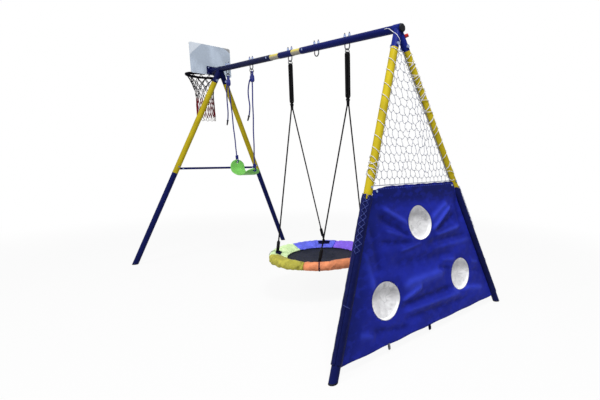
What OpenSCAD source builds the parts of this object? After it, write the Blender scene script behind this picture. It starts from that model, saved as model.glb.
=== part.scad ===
// Garden swing set: two A-frames under one beam, with a belt swing, a round
// saucer swing, a ball hoop on a board at one end, and a goal net over a target
// sheet at the other end.
// X runs along the beam towards the goal end, Y across it towards the back and
// Z up. The origin is on the ground under the middle of the whole set.

/* [Frame] */
// Height of the beam's axis above the ground
beam_height = 1800; // [1650:10:2000]
// Distance between the two feet of one A-frame, axis to axis
foot_spread = 1500; // [1350:10:1650]
// Distance between the feet of the two A-frames, axis to axis
foot_span = 2960; // [2800:10:3200]
// How far the feet of an A-frame stand outside its top
frame_lean = 320; // [240:10:380]
// Outside diameter of the beam and the legs
tube_d = 46; // [42:1:54]
// Wall of the beam and the legs
tube_wall = 1.5; // [1.2:0.1:2]
// Clearance between a tube and the tube inside it
tube_fit = 0.3; // [0.2:0.05:0.5]
// Length of a corner bracket's leg sockets from the beam's axis
socket_len = 132; // [120:1:150]
// Wall of the corner brackets
socket_wall = 2; // [1.5:0.1:3]
// How deep a leg sits in its socket
leg_insert = 50; // [40:1:52]
// Distance from the beam's axis to the joint in a leg
leg_joint = 1052; // [950:1:1100]
// Length of the narrowed end of a lower leg inside the upper leg
swage_len = 90; // [70:1:120]
// Diameter of the crossbars
crossbar_d = 20; // [18:1:24]
// Distance of the crossbars above the leg joints, along the leg
crossbar_up = 42; // [38:1:60]
// Visible height of the rubber foot caps
foot_cap_h = 8; // [5:1:15]
// Diameter of the frame bolts
bolt_d = 8; // [6:1:10]

/* [Beam] */
// How far the beam runs past the goal end's A-frame
beam_past_goal = 32; // [30:1:60]
// How far the beam runs past the hoop end's A-frame
beam_past_hoop = 140; // [100:1:200]
// Place of the middle of the beam joint along the beam
beam_joint_x = -35; // [-60:1:-10]
// Length of the joint tube that shows between the two beam tubes
beam_joint_gap = 420; // [380:1:460]
// How deep the joint tube sits in each beam tube
beam_joint_insert = 80; // [50:1:120]
// Length of the collar in the middle of the joint tube
collar_len = 178; // [170:1:200]

/* [Hanging points] */
// Place of the belt swing along the beam
belt_x = -790; // [-840:5:-740]
// Distance between the belt swing's two hangers
belt_hanger_gap = 436; // [420:1:460]
// Place of the saucer swing along the beam
saucer_x = 358; // [340:1:365]
// Distance between the saucer swing's two hangers
saucer_hanger_gap = 676; // [660:1:690]
// Rod diameter of the U-bolts
u_rod_d = 8; // [6:0.5:10]
// Distance between the two legs of a U-bolt
u_width = 48; // [44:1:52]
// Depth of a U-bolt's bow below the beam's axis
u_drop = 59; // [56:1:66]
// Wire diameter of the hanger rings
ring_wire_d = 6; // [5:0.5:7]
// Inside diameter of the hanger rings
ring_hole_d = 26; // [24:0.5:28]
// Clearance between a hanger ring and its U-bolt
hang_gap = 0.4; // [0.3:0.1:0.8]

/* [Belt swing] */
// Diameter of the belt swing's ropes
belt_rope_d = 10; // [8:0.5:12]
// Height of the left rope hole in the belt seat
seat_hole_height = 950; // [890:1:1010]
// Width of the belt seat
seat_width = 130; // [120:1:140]
// Thickness of the belt seat
seat_thickness = 8; // [6:0.5:9]
// Bend radius of the belt seat's middle
seat_middle_r = 330; // [300:5:360]
// Bend radius at the belt seat's two ends
seat_end_r = 50; // [45:1:60]
// Turn of the bend at the belt seat's right end, which hangs open
seat_right_turn = 15; // [10:1:40]
// Distance from a rope hole to the edge of the seat
seat_hole_edge = 24; // [20:1:26]
// Length of the rope adjusters
adjuster_len = 92; // [84:1:104]
// Width of the rope adjusters
adjuster_width = 52; // [46:1:58]
// Thickness of the rope adjusters
adjuster_thickness = 14; // [13:0.5:18]

/* [Saucer swing] */
// Diameter of the saucer's rim, at the middle of the tube
saucer_d = 700; // [660:5:740]
// Height of the saucer's rim
saucer_height = 297; // [260:1:400]
// Diameter of the rim tube
rim_tube_d = 25; // [22:1:28]
// Thickness of the rim pads
pad_d = 66; // [60:1:72]
// Inside diameter that the rim pads leave open
pad_open_d = 500; // [480:5:540]
// Gap between neighbouring rim pads
pad_gap = 2; // [1:0.5:4]
// Diameter of the saucer's ropes
saucer_rope_d = 10; // [8:0.5:12]
// Diameter of the rope in the hanging loops
strap_rope_d = 9; // [8:0.5:10]
// Height where the saucer's ropes part
rope_fork_height = 1384; // [1330:1:1420]
// Length of the gathering sleeve above the fork
gather_len = 54; // [45:1:70]
// Length of the rope sleeves above the rim
rope_sleeve_len = 62; // [40:1:80]
// Width of the webbing loops round the rim pads
webbing_width = 8; // [6:1:12]
// Length of the webbing patches where the ropes meet the pads
patch_len = 94; // [70:1:110]
// Height of the webbing patches
patch_height = 24; // [18:1:30]
// Distance of the rope ends inside the middle of the rim
rope_end_in = 26; // [25:1:42]
// Turn of the rope ends round the rim from the corners of a square
rim_turn = 6.5; // [0:0.5:9]

/* [Hoop] */
// Width of the hoop's board
board_width = 370; // [340:5:400]
// Height of the hoop's board
board_height = 270; // [250:5:300]
// Thickness of the board
board_thickness = 6; // [5:0.5:8]
// Gap between the end of the beam and the board's bracket
board_gap = 36; // [20:1:60]
// Diameter of the hoop, at the middle of the rod
hoop_d = 290; // [260:5:320]
// Rod diameter of the hoop
hoop_rod_d = 12; // [10:0.5:14]
// Distance from the board to the hoop
hoop_reach = 50; // [40:1:70]
// Depth of the board's lower edge below the beam's axis
board_drop = 35; // [33:1:60]
// Depth of the hoop below the beam's axis
hoop_drop = 22; // [18:1:26]
// Length of the hoop's net
hoop_net_len = 430; // [380:5:480]
// Diameter of the net's lower end
hoop_net_end_d = 160; // [140:5:200]

/* [Goal end] */
// Width of one mesh of the goal net
mesh_width = 42; // [40:1:50]
// Height of one mesh of the goal net
mesh_height = 58; // [56:1:70]
// Cord diameter of the goal net
net_cord_d = 3; // [2.5:0.1:4]
// Distance of the net's top below the beam's axis, along the frame
net_top_down = 130; // [125:1:220]
// Turns of lacing round each upper leg
lacing_turns = 10; // [8:1:11]
// Distance of the target sheet's bottom above the ground, along the frame
sheet_bottom = 56; // [45:1:80]
// Height of the sheet's top above the crossbar, along the frame
sheet_over_bar = 25; // [18:1:35]
// Thickness of the target sheet
sheet_thickness = 1.4; // [1:0.1:2]
// Diameter of the three target holes
target_d = 210; // [180:5:230]
// Distance of the upper target hole below the sheet's top, along the frame
target_down = 233; // [222:1:246]
// Height of the two lower target holes, along the frame
target_low = 298; // [270:1:330]
// Distance of the lower target holes from the middle
target_side = 345; // [320:1:360]
// Depth of the pockets behind the target holes
pocket_depth = 75; // [55:1:100]

/* [Hidden] */
$fn = 48;
tube_r = tube_d / 2;
tube_bore_r = tube_r - tube_wall;
inner_tube_r = tube_bore_r - tube_fit;
apex_x = foot_span / 2 - frame_lean;
lean_angle = atan(frame_lean / beam_height);
slant_h = norm([frame_lean, beam_height]);
leg_angle = atan(foot_spread / 2 / slant_h);
leg_len = norm([foot_spread / 2, slant_h]);
socket_r = tube_r + tube_fit + socket_wall;
leg_top = socket_len - leg_insert;
socket_bolt_at = socket_len - leg_insert / 2 + 2;
plug_at = leg_top - 30;
plug_d = bolt_d * 2.75;
plug_h = bolt_d * 2.75;
plug_turn = 40;
corner_bolt_d = bolt_d * 1.5;
joint_bolt_at = leg_joint - swage_len * 0.75;
crossbar_at = leg_joint - crossbar_up;
crossbar_v = slant_h - crossbar_at * cos(leg_angle);
crossbar_y = crossbar_at * sin(leg_angle);
crossbar_r = crossbar_d / 2;
crossbar_wall = 1.2;
crossbar_stub_r = crossbar_r - crossbar_wall - tube_fit;
crossbar_stub_len = tube_r / cos(leg_angle) + 38;
crossbar_bolt_y = crossbar_y - crossbar_stub_len + 14;
crossbar_bolt_d = bolt_d;
bolt_gap = 0.2;
cut_reach = 150;
foot_plug_len = 50;

beam_goal_end = apex_x + beam_past_goal;
beam_hoop_end = -apex_x - beam_past_hoop;
joint_lo = beam_joint_x - beam_joint_gap / 2;
joint_hi = beam_joint_x + beam_joint_gap / 2;
collar_lo = beam_joint_x - collar_len / 2 + 5;
end_cap_len = 8;

u_rod_r = u_rod_d / 2;
hinge_z = beam_height - u_drop;
ring_wire_r = ring_wire_d / 2;
ring_r = ring_hole_d / 2 + ring_wire_r;
ring_z = hinge_z + u_rod_r + hang_gap + ring_wire_r - ring_r;
belt_hang_x = [belt_x - belt_hanger_gap / 2, belt_x + belt_hanger_gap / 2];
saucer_hang_x = [saucer_x - saucer_hanger_gap / 2, saucer_x + saucer_hanger_gap / 2];
spare_x = saucer_x;
u_bolt_x = concat(belt_hang_x, saucer_hang_x);
u_nut_h = 14;
u_washer_h = 1.6;
u_top_z = beam_height + tube_r + u_washer_h + u_nut_h + 9;

board_back_x = beam_hoop_end - board_gap - 4;
board_front_x = board_back_x - board_thickness;
board_low_z = beam_height - board_drop;
hoop_r = hoop_d / 2;
hoop_rod_r = hoop_rod_d / 2;
hoop_x = board_front_x - hoop_reach - hoop_r;
hoop_z = beam_height - hoop_drop;
hoop_plate_up = 42;
hoop_bolt_z = [hoop_z - 1, beam_height + hoop_plate_up - 13];

foot_reach = tube_r * sqrt(1 + pow(frame_lean / beam_height, 2));
set_x_max = foot_span / 2 + foot_reach;
set_x_min = hoop_x - hoop_r - hoop_rod_r;
centre_x = -(set_x_max + set_x_min) / 2;

belt_rope_r = belt_rope_d / 2;
seat_bend = 20;
seat_half = seat_middle_r * sin(seat_bend) + seat_end_r * (1 - sin(seat_bend));
seat_depth = seat_middle_r * (1 - cos(seat_bend)) + seat_end_r * cos(seat_bend);
seat_tab_r = seat_width / 2;
seat_end_z = seat_hole_height + seat_hole_edge - seat_tab_r;
seat_low_z = seat_end_z - seat_depth;
seat_hole_r = belt_rope_r + 4.5;
seat_turn = [90 - seat_bend, seat_right_turn];
seat_tilt = [90, seat_bend + seat_right_turn];
seat_arc_x = seat_half - seat_end_r;
seat_loop_r = (seat_hole_edge + 2 * belt_rope_r + 6) / 2;
adjuster_eye_r = 8;
adjuster_eye_z = ring_z - ring_r + ring_wire_r + hang_gap - adjuster_eye_r;
adjuster_eye_t = min(ring_hole_d / 4, adjuster_thickness);
adjuster_top_r = adjuster_width * 0.4;
adjuster_low_z = adjuster_eye_z + adjuster_top_r - adjuster_len;

saucer_r = saucer_d / 2;
rim_tube_r = rim_tube_d / 2;
pad_r = pad_d / 2;
pad_open_r = pad_open_d / 2;
saucer_rope_r = saucer_rope_d / 2;
strap_rope_r = strap_rope_d / 2;
strap_loop_r = 15;
strap_pair_y = strap_rope_r + 0.2;
strap_room = ring_hole_d / 2 - strap_rope_r - 2 * hang_gap;
strap_top_z = ring_z - sqrt(pow(strap_room, 2) - pow(strap_pair_y, 2));
gather_r = saucer_rope_d * 0.95;
gather_top_z = rope_fork_height + gather_len;
mat_thickness = 4;
mat_z = saucer_height - rim_tube_r - mat_thickness - 0.2;
webbing_t = 2;
webbing_r = pad_r + 0.4;
skirt_top = [pad_r * cos(115), pad_r * sin(115)];
skirt_low = [pad_open_r - saucer_r + 34, 4];
skirt_way = unit(skirt_low - skirt_top);
skirt_out = [skirt_way[1], -skirt_way[0]];
patch_gap = 0.7;
patch_middle = skirt_top + skirt_way * (rope_end_in + skirt_top[0]) / -skirt_way[0];
attach_r = saucer_r - rope_end_in;
attach_z = saucer_height + patch_middle[1] + (patch_gap + webbing_t) / skirt_out[1];
pad_start = 5;
pad_step = 60;
pad_slices = 10;
pad_half_angle = pad_step / 2 - pad_gap / saucer_r * 90 / PI;
pad_slice_sag = saucer_r * (1 - cos(pad_half_angle / pad_slices));
pad_hole_r = (rim_tube_r + 0.25 + pad_slice_sag) / cos(17);

sheet_hem_x = crossbar_r + 1 + sheet_thickness / 2;
sheet_top = crossbar_v + sheet_over_bar;
target_r = target_d / 2;
target_high = sheet_top - target_down;
sleeve_gap = 2.4;
sleeve_join_r = tube_r + sleeve_gap + sheet_thickness / 2;
slit_middle = 45;
slit_half = 11;
hem_drop = 26;
hem_rise = 115;
hem_flat = 30;
sleeve_top = sheet_top - hem_drop - 17;
sleeve_low = sheet_bottom + 22;
pocket_t = 1.5;
lace_r = 1.5;
net_edge = tube_r + 4;
net_border = 3;
net_low_v = sheet_top + 6;
net_top_v = slant_h - net_top_down;

// Route of the belt swing's left spare rope end: along the beam from the
// adjuster's middle, across, and down from the adjuster's lower end.
tail_left_route = [
    [8, -5, 26],
    [8, -12, 22],
    [7, -17, 10],
    [2, -18, -10],
    [-6, -18, -40],
    [-11, -18, -80],
    [-13, -18, -130],
    [-11, -18, -180],
    [-9, -18, -225],
    [-14, -18, -265],
    [-25, -17, -298],
    [-38, -16, -326],
    [-50, -16, -350]
];

// Route of the right spare rope end, measured the same way.
tail_right_route = [
    [-8, -5, 26],
    [-8, -12, 22],
    [-12, -17, 10],
    [-22, -18, -10],
    [-36, -18, -40],
    [-45, -18, -75],
    [-46, -18, -112],
    [-39, -18, -152],
    [-32, -18, -190],
    [-35, -18, -225],
    [-48, -17, -260],
    [-67, -16, -292],
    [-87, -16, -320]
];

function unit(v) = v / norm(v);
function smooth(t) = let (c = max(0, min(1, t))) c * c * (3 - 2 * c);
function leg_y(v) = (slant_h - v) * tan(leg_angle);
function along_leg(v) = (slant_h - v) / cos(leg_angle);

// One step of a curve through four points, at a share of the way.
function curve_point(a, b, c, d, t) =
    0.5 * (2 * b + (c - a) * t + (2 * a - 5 * b + 4 * c - d) * t * t
    + (3 * b - a - 3 * c + d) * t * t * t);

// Smooth curve through route points with a number of steps between them.
function smooth_route(p, steps) = let (n = len(p)) [
    for (i = [0 : n - 2], s = [0 : steps - 1])
        curve_point(p[max(i - 1, 0)], p[i], p[i + 1], p[min(i + 2, n - 1)], s / steps),
    p[n - 1]
];

// Oval lacing round a leg and the net's edge; side is -1 at the front, 1 at the back.
function lacing_path(side) = [
    for (i = [0 : lacing_turns * 16])
        let (a = i * 22.5)
        let (t = lacing_start + (lacing_end - lacing_start) * i / (lacing_turns * 16))
        [
            lacing_width * cos(a),
            side * (lacing_offset + lacing_depth * sin(a)),
            t
        ]
];
lacing_offset = (net_edge + net_border - tube_r) / 2;
lacing_depth = tube_r + lacing_offset + lace_r + 1.3;
lacing_width = tube_r + lace_r + 1.5;
lacing_start = along_leg(net_top_v) + 10;
lacing_end = along_leg(net_low_v + 30);

// Least gap of a lacing to itself, measured on the points of its turns.
function lacing_gap(p) = min([
    for (i = [0 : len(p) - 13], j = [i + 12 : min(i + 20, len(p) - 1)]) norm(p[j] - p[i])
]) - 2 * lace_r;
echo(least_gap_front_lacing = lacing_gap(lacing_path(-1)));
echo(least_gap_back_lacing = lacing_gap(lacing_path(1)));

// Zigzag lacing over the slit of a sheet sleeve, from edge to edge.
sleeve_r = tube_r + sleeve_gap + sheet_thickness;
sheet_lace_r = sleeve_r + lace_r + 1.6;
sheet_lace_turns = 9;
sheet_lace_pitch = 36;
sheet_lace_down = 14;
sheet_lace_swing = 38;
function sheet_lace_path(side) = [
    for (i = [0 : sheet_lace_turns * 8])
        let (a = slit_middle + sheet_lace_swing * sin(i * 45))
        [
            sheet_lace_r * sin(a),
            -side * sheet_lace_r * cos(a),
            along_leg(crossbar_v) + sheet_lace_down + i * sheet_lace_pitch / 8
        ]
];

// Distance of the unfolded sheet from the plane of the leg axes: it lies in that plane
// and passes in front of the crossbar at its top.
function sheet_middle(v) = sheet_hem_x * smooth((v - crossbar_v + hem_rise) / (hem_rise - hem_flat));

// Distance of the sheet's side edges from the middle, where they meet the sleeves.
function sheet_edge(v) =
    leg_y(v) - sqrt(pow(sleeve_join_r, 2) - pow(sheet_middle(v), 2)) / cos(leg_angle);

// Depth of the target sheet's folds at a place on the sheet. Near a hole the folds
// only stand outwards, clear of the pocket behind it.
function fold(y, v) =
    let (edge = 1 - pow(min(1, abs(y) / sheet_edge(v)), 6))
    let (high = norm([y, v - target_high]) - target_r)
    let (low = norm([abs(y) - target_side, v - target_low]) - target_r)
    let (wave = 5 * sin(y * 1.1 + v * 0.9) + 4 * sin(y * 1.6 - v * 1.2) + 3 * sin(v * 2.3 + 40))
    let (clear = smooth((min(high, low) - (wave > 0 ? 14 : 95)) / 60))
    let (top = smooth((crossbar_v - hem_flat - v) / 120))
    let (low_hem = 0.4 + 0.6 * smooth((v - sheet_bottom) / 120))
    edge * clear * top * low_hem * wave;

// Distance of the folded sheet from the plane of the leg axes.
function sheet_depth(y, v) = sheet_middle(v) + fold(y, v);

// Reach of the goal crossbar's bolts, whose heads hold the sheet's two top corners.
hem_bolt_reach = sheet_hem_x + sheet_thickness / 2 + 0.4;

// Puts a sub-part on the whole set's origin.
module placed() {
    translate([centre_x, 0, 0]) children();
}

// Frame of an A-frame: X outwards from it, Z up along it from the ground.
module a_frame(end) {
    mirror([end < 0 ? 1 : 0, 0, 0])
        translate([foot_span / 2, 0, 0])
            rotate([0, -lean_angle, 0])
                children();
}

// Frame of a leg: Z down the leg from the beam's axis, X outwards.
module leg_frame(end, side) {
    a_frame(end)
        translate([0, 0, slant_h])
            rotate([180 + side * leg_angle, 0, 0])
                children();
}

module along_x(x, z) {
    translate([x, 0, z]) rotate([0, 90, 0]) children();
}

module cross_hole(at, d) {
    translate([-100, 0, at]) rotate([0, 90, 0]) cylinder(d = d, h = 200, $fn = 24);
}

module under_ground(h) {
    translate([-3000, -2000, h - 200]) cube([6000, 4000, 200]);
}

// Tube along a list of points; the ring frames turn about a fixed direction.
module tube_along(points, d, sides, ref) {
    n = len(points);
    rings = [
        for (i = [0 : n - 1])
            let (t = unit(points[min(i + 1, n - 1)] - points[max(i - 1, 0)]))
            let (a = unit(cross(ref, t)))
            let (b = cross(t, a))
            for (k = [0 : sides - 1])
                points[i] + d / 2 * (cos(360 * k / sides) * a + sin(360 * k / sides) * b)
    ];
    side_faces = [
        for (i = [0 : n - 2], k = [0 : sides - 1], half = [0, 1])
            let (a = i * sides + k)
            let (b = i * sides + (k + 1) % sides)
            half == 0 ? [a, a + sides, b + sides] : [a, b + sides, b]
    ];
    first_cap = [for (k = [1 : sides - 2]) [0, k, k + 1]];
    last = (n - 1) * sides;
    last_cap = [for (k = [1 : sides - 2]) [last, last + k + 1, last + k]];
    polyhedron(points = rings, faces = concat(side_faces, first_cap, last_cap));
}

// Hexagon bolt along X with its head at the positive end, and its nut.
module bolt_x(d, reach_head, reach_nut) {
    rotate([0, 90, 0]) {
        translate([0, 0, -reach_nut - d]) cylinder(d = d, h = reach_nut + reach_head + d, $fn = 24);
        translate([0, 0, reach_head - 0.01]) cylinder(d = d * 1.9, h = d * 0.6, $fn = 6);
        translate([0, 0, -reach_nut - d * 0.8])
            difference() {
                cylinder(d = d * 1.9, h = d * 0.8, $fn = 6);
                translate([0, 0, -1]) cylinder(d = d + 0.1, h = d + 2, $fn = 24);
            }
    }
}

// Rounded rectangle standing in the YZ plane, thickness towards negative X.
module standing_plate(w, h, r, t) {
    rotate([90, 0, -90])
        linear_extrude(t) {
            translate([-w / 2 + r, 0]) square([w - 2 * r, h]);
            translate([-w / 2, r]) square([w, h - 2 * r]);
            for (x = [-w / 2 + r, w / 2 - r], y = [r, h - r])
                translate([x, y]) circle(r);
        }
}

module beam_bolt_holes() {
    for (x = concat(u_bolt_x, [spare_x]), s = [-1, 1])
        translate([x + s * u_width / 2, 0, beam_height - 60])
            cylinder(r = u_rod_r + bolt_gap, h = 120, $fn = 24);
    for (x = [joint_lo - 40, joint_hi + 40])
        translate([x, -60, beam_height])
            rotate([-90, 0, 0])
                cylinder(d = bolt_d + 2 * bolt_gap, h = 120, $fn = 24);
}

module beam_tube(from, to) {
    color("royalblue")
        placed()
            difference() {
                along_x(from, beam_height) cylinder(r = tube_r, h = to - from);
                along_x(from - 1, beam_height) cylinder(r = tube_bore_r, h = to - from + 2);
                beam_bolt_holes();
            }
}

module beam_hoop_tube() {
    beam_tube(beam_hoop_end, joint_lo);
}

module beam_goal_tube() {
    beam_tube(joint_hi, beam_goal_end);
}

module beam_joint_tube() {
    len = beam_joint_gap + 2 * beam_joint_insert;
    color("gold")
        placed()
            difference() {
                along_x(joint_lo - beam_joint_insert, beam_height) cylinder(r = inner_tube_r, h = len);
                along_x(joint_lo - beam_joint_insert - 1, beam_height)
                    cylinder(r = inner_tube_r - tube_wall, h = len + 2);
                beam_bolt_holes();
            }
}

module beam_joint_collar() {
    color("royalblue")
        placed()
            difference() {
                along_x(collar_lo, beam_height) cylinder(r = tube_r, h = collar_len);
                along_x(collar_lo - 1, beam_height) cylinder(r = inner_tube_r + 0.1, h = collar_len + 2);
                beam_bolt_holes();
            }
}

module beam_joint_bolts() {
    color("silver")
        placed()
            for (x = [joint_lo - 40, joint_hi + 40])
                translate([x, 0, beam_height])
                    rotate([0, 0, -90])
                        bolt_x(bolt_d, tube_r, tube_r);
}

module beam_end_cap() {
    color("black")
        placed()
            along_x(beam_goal_end, beam_height) {
                translate([0, 0, -24]) cylinder(r = inner_tube_r, h = 25);
                cylinder(r = tube_r, h = end_cap_len - 3);
                translate([0, 0, end_cap_len - 3]) cylinder(r1 = tube_r, r2 = tube_r - 4, h = 3);
            }
}

module corner_bracket(end) {
    color("mediumblue")
        placed()
            difference() {
                union() {
                    translate([end * apex_x, 0, beam_height])
                        rotate([0, 90, 0])
                            cylinder(r = socket_r, h = 54, center = true);
                    for (side = [-1, 1])
                        leg_frame(end, side) cylinder(r = tube_r, h = socket_len);
                }
                translate([end * apex_x, 0, beam_height])
                    rotate([0, 90, 0])
                        cylinder(r = tube_r + tube_fit, h = 400, center = true);
                for (side = [-1, 1])
                    leg_frame(end, side) {
                        translate([0, 0, leg_top]) cylinder(r = tube_bore_r, h = socket_len);
                        cross_hole(socket_bolt_at, corner_bolt_d + 2 * bolt_gap);
                    }
                leg_frame(end, 1)
                    rotate([0, 0, -plug_turn])
                        translate([tube_r - 10, 0, plug_at])
                            rotate([0, 90, 0])
                                cylinder(d = bolt_d + 2 * bolt_gap, h = 40, $fn = 24);
            }
}

module hoop_corner_bracket() {
    corner_bracket(-1);
}

module goal_corner_bracket() {
    corner_bracket(1);
}

module corner_bolts() {
    color("silver")
        placed()
            for (end = [-1, 1], side = [-1, 1])
                leg_frame(end, side)
                    translate([0, 0, socket_bolt_at])
                        bolt_x(corner_bolt_d, tube_r, tube_r);
}

// Plastic plug in a blind hole above the bolt of each back socket.
module bracket_plugs() {
    color("red")
        placed()
            for (end = [-1, 1])
                leg_frame(end, 1)
                    rotate([0, 0, -plug_turn])
                        translate([tube_r, 0, plug_at])
                            rotate([0, 90, 0]) {
                                translate([0, 0, -9]) cylinder(d = bolt_d, h = 9.5, $fn = 24);
                                cylinder(d1 = plug_d, d2 = plug_d * 0.85, h = plug_h, $fn = 24);
                            }
}

// Upper leg with a narrowed end that sits in the bracket's socket.
module upper_leg(end, side) {
    color("gold")
        placed()
            difference() {
                union() {
                    leg_frame(end, side) {
                        translate([0, 0, leg_top + 0.5]) cylinder(r = inner_tube_r, h = leg_insert);
                        translate([0, 0, socket_len + 0.2])
                            cylinder(r = tube_r, h = leg_joint - socket_len - 0.2);
                    }
                    a_frame(end)
                        translate([0, side * crossbar_y, crossbar_v])
                            rotate([side * 90, 0, 0])
                                cylinder(r = crossbar_stub_r, h = crossbar_stub_len, $fn = 32);
                }
                leg_frame(end, side) {
                    cylinder(r = inner_tube_r - tube_wall, h = leg_joint + 1);
                    translate([0, 0, socket_len + 3]) cylinder(r = tube_bore_r, h = leg_joint - socket_len);
                    cross_hole(socket_bolt_at, corner_bolt_d + 2 * bolt_gap);
                    cross_hole(joint_bolt_at, bolt_d + 2 * bolt_gap);
                }
                a_frame(end)
                    translate([0, side * crossbar_bolt_y, 0])
                        cross_hole(crossbar_v, crossbar_bolt_d + 2 * bolt_gap);
            }
}

module upper_leg_hoop_front() {
    upper_leg(-1, -1);
}

module upper_leg_hoop_back() {
    upper_leg(-1, 1);
}

module upper_leg_goal_front() {
    upper_leg(1, -1);
}

module upper_leg_goal_back() {
    upper_leg(1, 1);
}

module lower_leg(end, side) {
    color("midnightblue")
        placed()
            difference() {
                leg_frame(end, side)
                    rotate_extrude()
                        polygon([
                            [tube_r, leg_joint + 0.2],
                            [tube_r, leg_len + 40],
                            [tube_bore_r, leg_len + 40],
                            [tube_bore_r, leg_joint + 4],
                            [inner_tube_r - tube_wall, leg_joint + 1],
                            [inner_tube_r - tube_wall, leg_joint - swage_len],
                            [inner_tube_r, leg_joint - swage_len],
                            [inner_tube_r, leg_joint + 0.2]
                        ]);
                under_ground(foot_cap_h);
                leg_frame(end, side) cross_hole(joint_bolt_at, bolt_d + 2 * bolt_gap);
            }
}

module lower_leg_hoop_front() {
    lower_leg(-1, -1);
}

module lower_leg_hoop_back() {
    lower_leg(-1, 1);
}

module lower_leg_goal_front() {
    lower_leg(1, -1);
}

module lower_leg_goal_back() {
    lower_leg(1, 1);
}

module leg_joint_bolts() {
    color("silver")
        placed()
            for (end = [-1, 1], side = [-1, 1])
                leg_frame(end, side)
                    translate([0, 0, joint_bolt_at])
                        bolt_x(bolt_d, tube_r, tube_r);
}

module foot_caps() {
    color("black")
        placed()
            for (end = [-1, 1], side = [-1, 1])
                difference() {
                    union() {
                        leg_frame(end, side)
                            translate([0, 0, leg_len - foot_plug_len])
                                cylinder(r = inner_tube_r, h = 2 * foot_plug_len);
                        difference() {
                            leg_frame(end, side)
                                translate([0, 0, leg_len - foot_plug_len])
                                    cylinder(r = tube_r, h = 2 * foot_plug_len);
                            translate([-3000, -2000, foot_cap_h]) cube([6000, 4000, 200]);
                        }
                    }
                    under_ground(0);
                }
}

module crossbar(end) {
    color("royalblue")
        placed()
            difference() {
                a_frame(end)
                    translate([0, -crossbar_y, crossbar_v])
                        rotate([-90, 0, 0])
                            difference() {
                                cylinder(r = crossbar_r, h = 2 * crossbar_y, $fn = 32);
                                translate([0, 0, -1])
                                    cylinder(r = crossbar_r - crossbar_wall, h = 2 * crossbar_y + 2);
                            }
                for (side = [-1, 1]) {
                    leg_frame(end, side) cylinder(r = tube_r + 1, h = leg_len);
                    a_frame(end)
                        translate([0, side * crossbar_bolt_y, 0])
                            cross_hole(crossbar_v, crossbar_bolt_d + 2 * bolt_gap);
                }
            }
}

module hoop_crossbar() {
    crossbar(-1);
}

module goal_crossbar() {
    crossbar(1);
}

module crossbar_bolts() {
    color("silver")
        placed()
            for (end = [-1, 1], side = [-1, 1])
                a_frame(end)
                    translate([0, side * crossbar_bolt_y, crossbar_v])
                        bolt_x(crossbar_bolt_d, end < 0 ? crossbar_r : hem_bolt_reach, crossbar_r);
}

module u_bolt(x) {
    translate([x, 0, hinge_z + u_width / 2])
        rotate([90, 0, 0]) {
            rotate_extrude(angle = 180, start = 180)
                translate([u_width / 2, 0]) circle(u_rod_r, $fn = 24);
        }
    for (s = [-1, 1])
        translate([x + s * u_width / 2, 0, hinge_z + u_width / 2])
            cylinder(r = u_rod_r, h = u_top_z - hinge_z - u_width / 2, $fn = 24);
}

module swing_u_bolts() {
    color("silver")
        placed()
            for (x = u_bolt_x)
                u_bolt(x);
}

module spare_u_bolt() {
    color("silver")
        placed()
            u_bolt(spare_x);
}

module u_bolt_nuts() {
    color("dimgray")
        placed()
            for (x = concat(u_bolt_x, [spare_x]), s = [-1, 1])
                translate([x + s * u_width / 2, 0, beam_height + tube_r])
                    difference() {
                        union() {
                            cylinder(r = u_rod_r + 5, h = u_washer_h, $fn = 24);
                            translate([0, 0, u_washer_h])
                                cylinder(r = u_rod_r * 1.85, h = u_nut_h, $fn = 6);
                        }
                        translate([0, 0, -1]) cylinder(r = u_rod_r + 0.05, h = 20, $fn = 24);
                    }
}

module hoop_bolt_holes() {
    for (y = [-30, 30], z = hoop_bolt_z)
        translate([board_back_x - 50, y, z])
            rotate([0, 90, 0])
                cylinder(d = 6 + 2 * bolt_gap, h = 100, $fn = 24);
}

module hoop_board() {
    color("whitesmoke")
        placed()
            difference() {
                translate([board_back_x, 0, board_low_z])
                    standing_plate(board_width, board_height, 14, board_thickness);
                hoop_bolt_holes();
            }
}

module hoop_bracket() {
    plate_low = board_low_z + 4;
    plate_high = beam_height + hoop_plate_up;
    color("mediumblue")
        placed()
            difference() {
                union() {
                    translate([board_back_x + 4, 0, plate_low])
                        standing_plate(92, plate_high - plate_low, 6, 4);
                    along_x(board_back_x + 2, beam_height) cylinder(r = inner_tube_r, h = board_gap + 72);
                    along_x(board_back_x + 2, beam_height) cylinder(r = tube_r, h = board_gap + 1.8);
                }
                along_x(board_back_x + 4, beam_height) cylinder(r = inner_tube_r - 2, h = board_gap + 80);
                hoop_bolt_holes();
            }
}

module hoop_bolts() {
    color("silver")
        placed()
            for (y = [-30, 30], z = hoop_bolt_z)
                translate([board_front_x, y, z])
                    rotate([0, 180, 0])
                        bolt_x(6, 4, board_thickness + 4);
}

module hoop_ring() {
    plate_low = hoop_z - 14;
    plate_high = beam_height + hoop_plate_up;
    color("black")
        placed()
            difference() {
                union() {
                    translate([hoop_x, 0, hoop_z])
                        rotate_extrude()
                            translate([hoop_r, 0]) circle(hoop_rod_r, $fn = 24);
                    translate([board_front_x, 0, plate_low])
                        standing_plate(84, plate_high - plate_low, 5, 4);
                    for (s = [-1, 1])
                        translate([hoop_x + hoop_r - 5, s * 14 - 2, hoop_z - 4])
                            cube([hoop_reach + 3, 4, 12]);
                }
                hoop_bolt_holes();
            }
}

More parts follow.
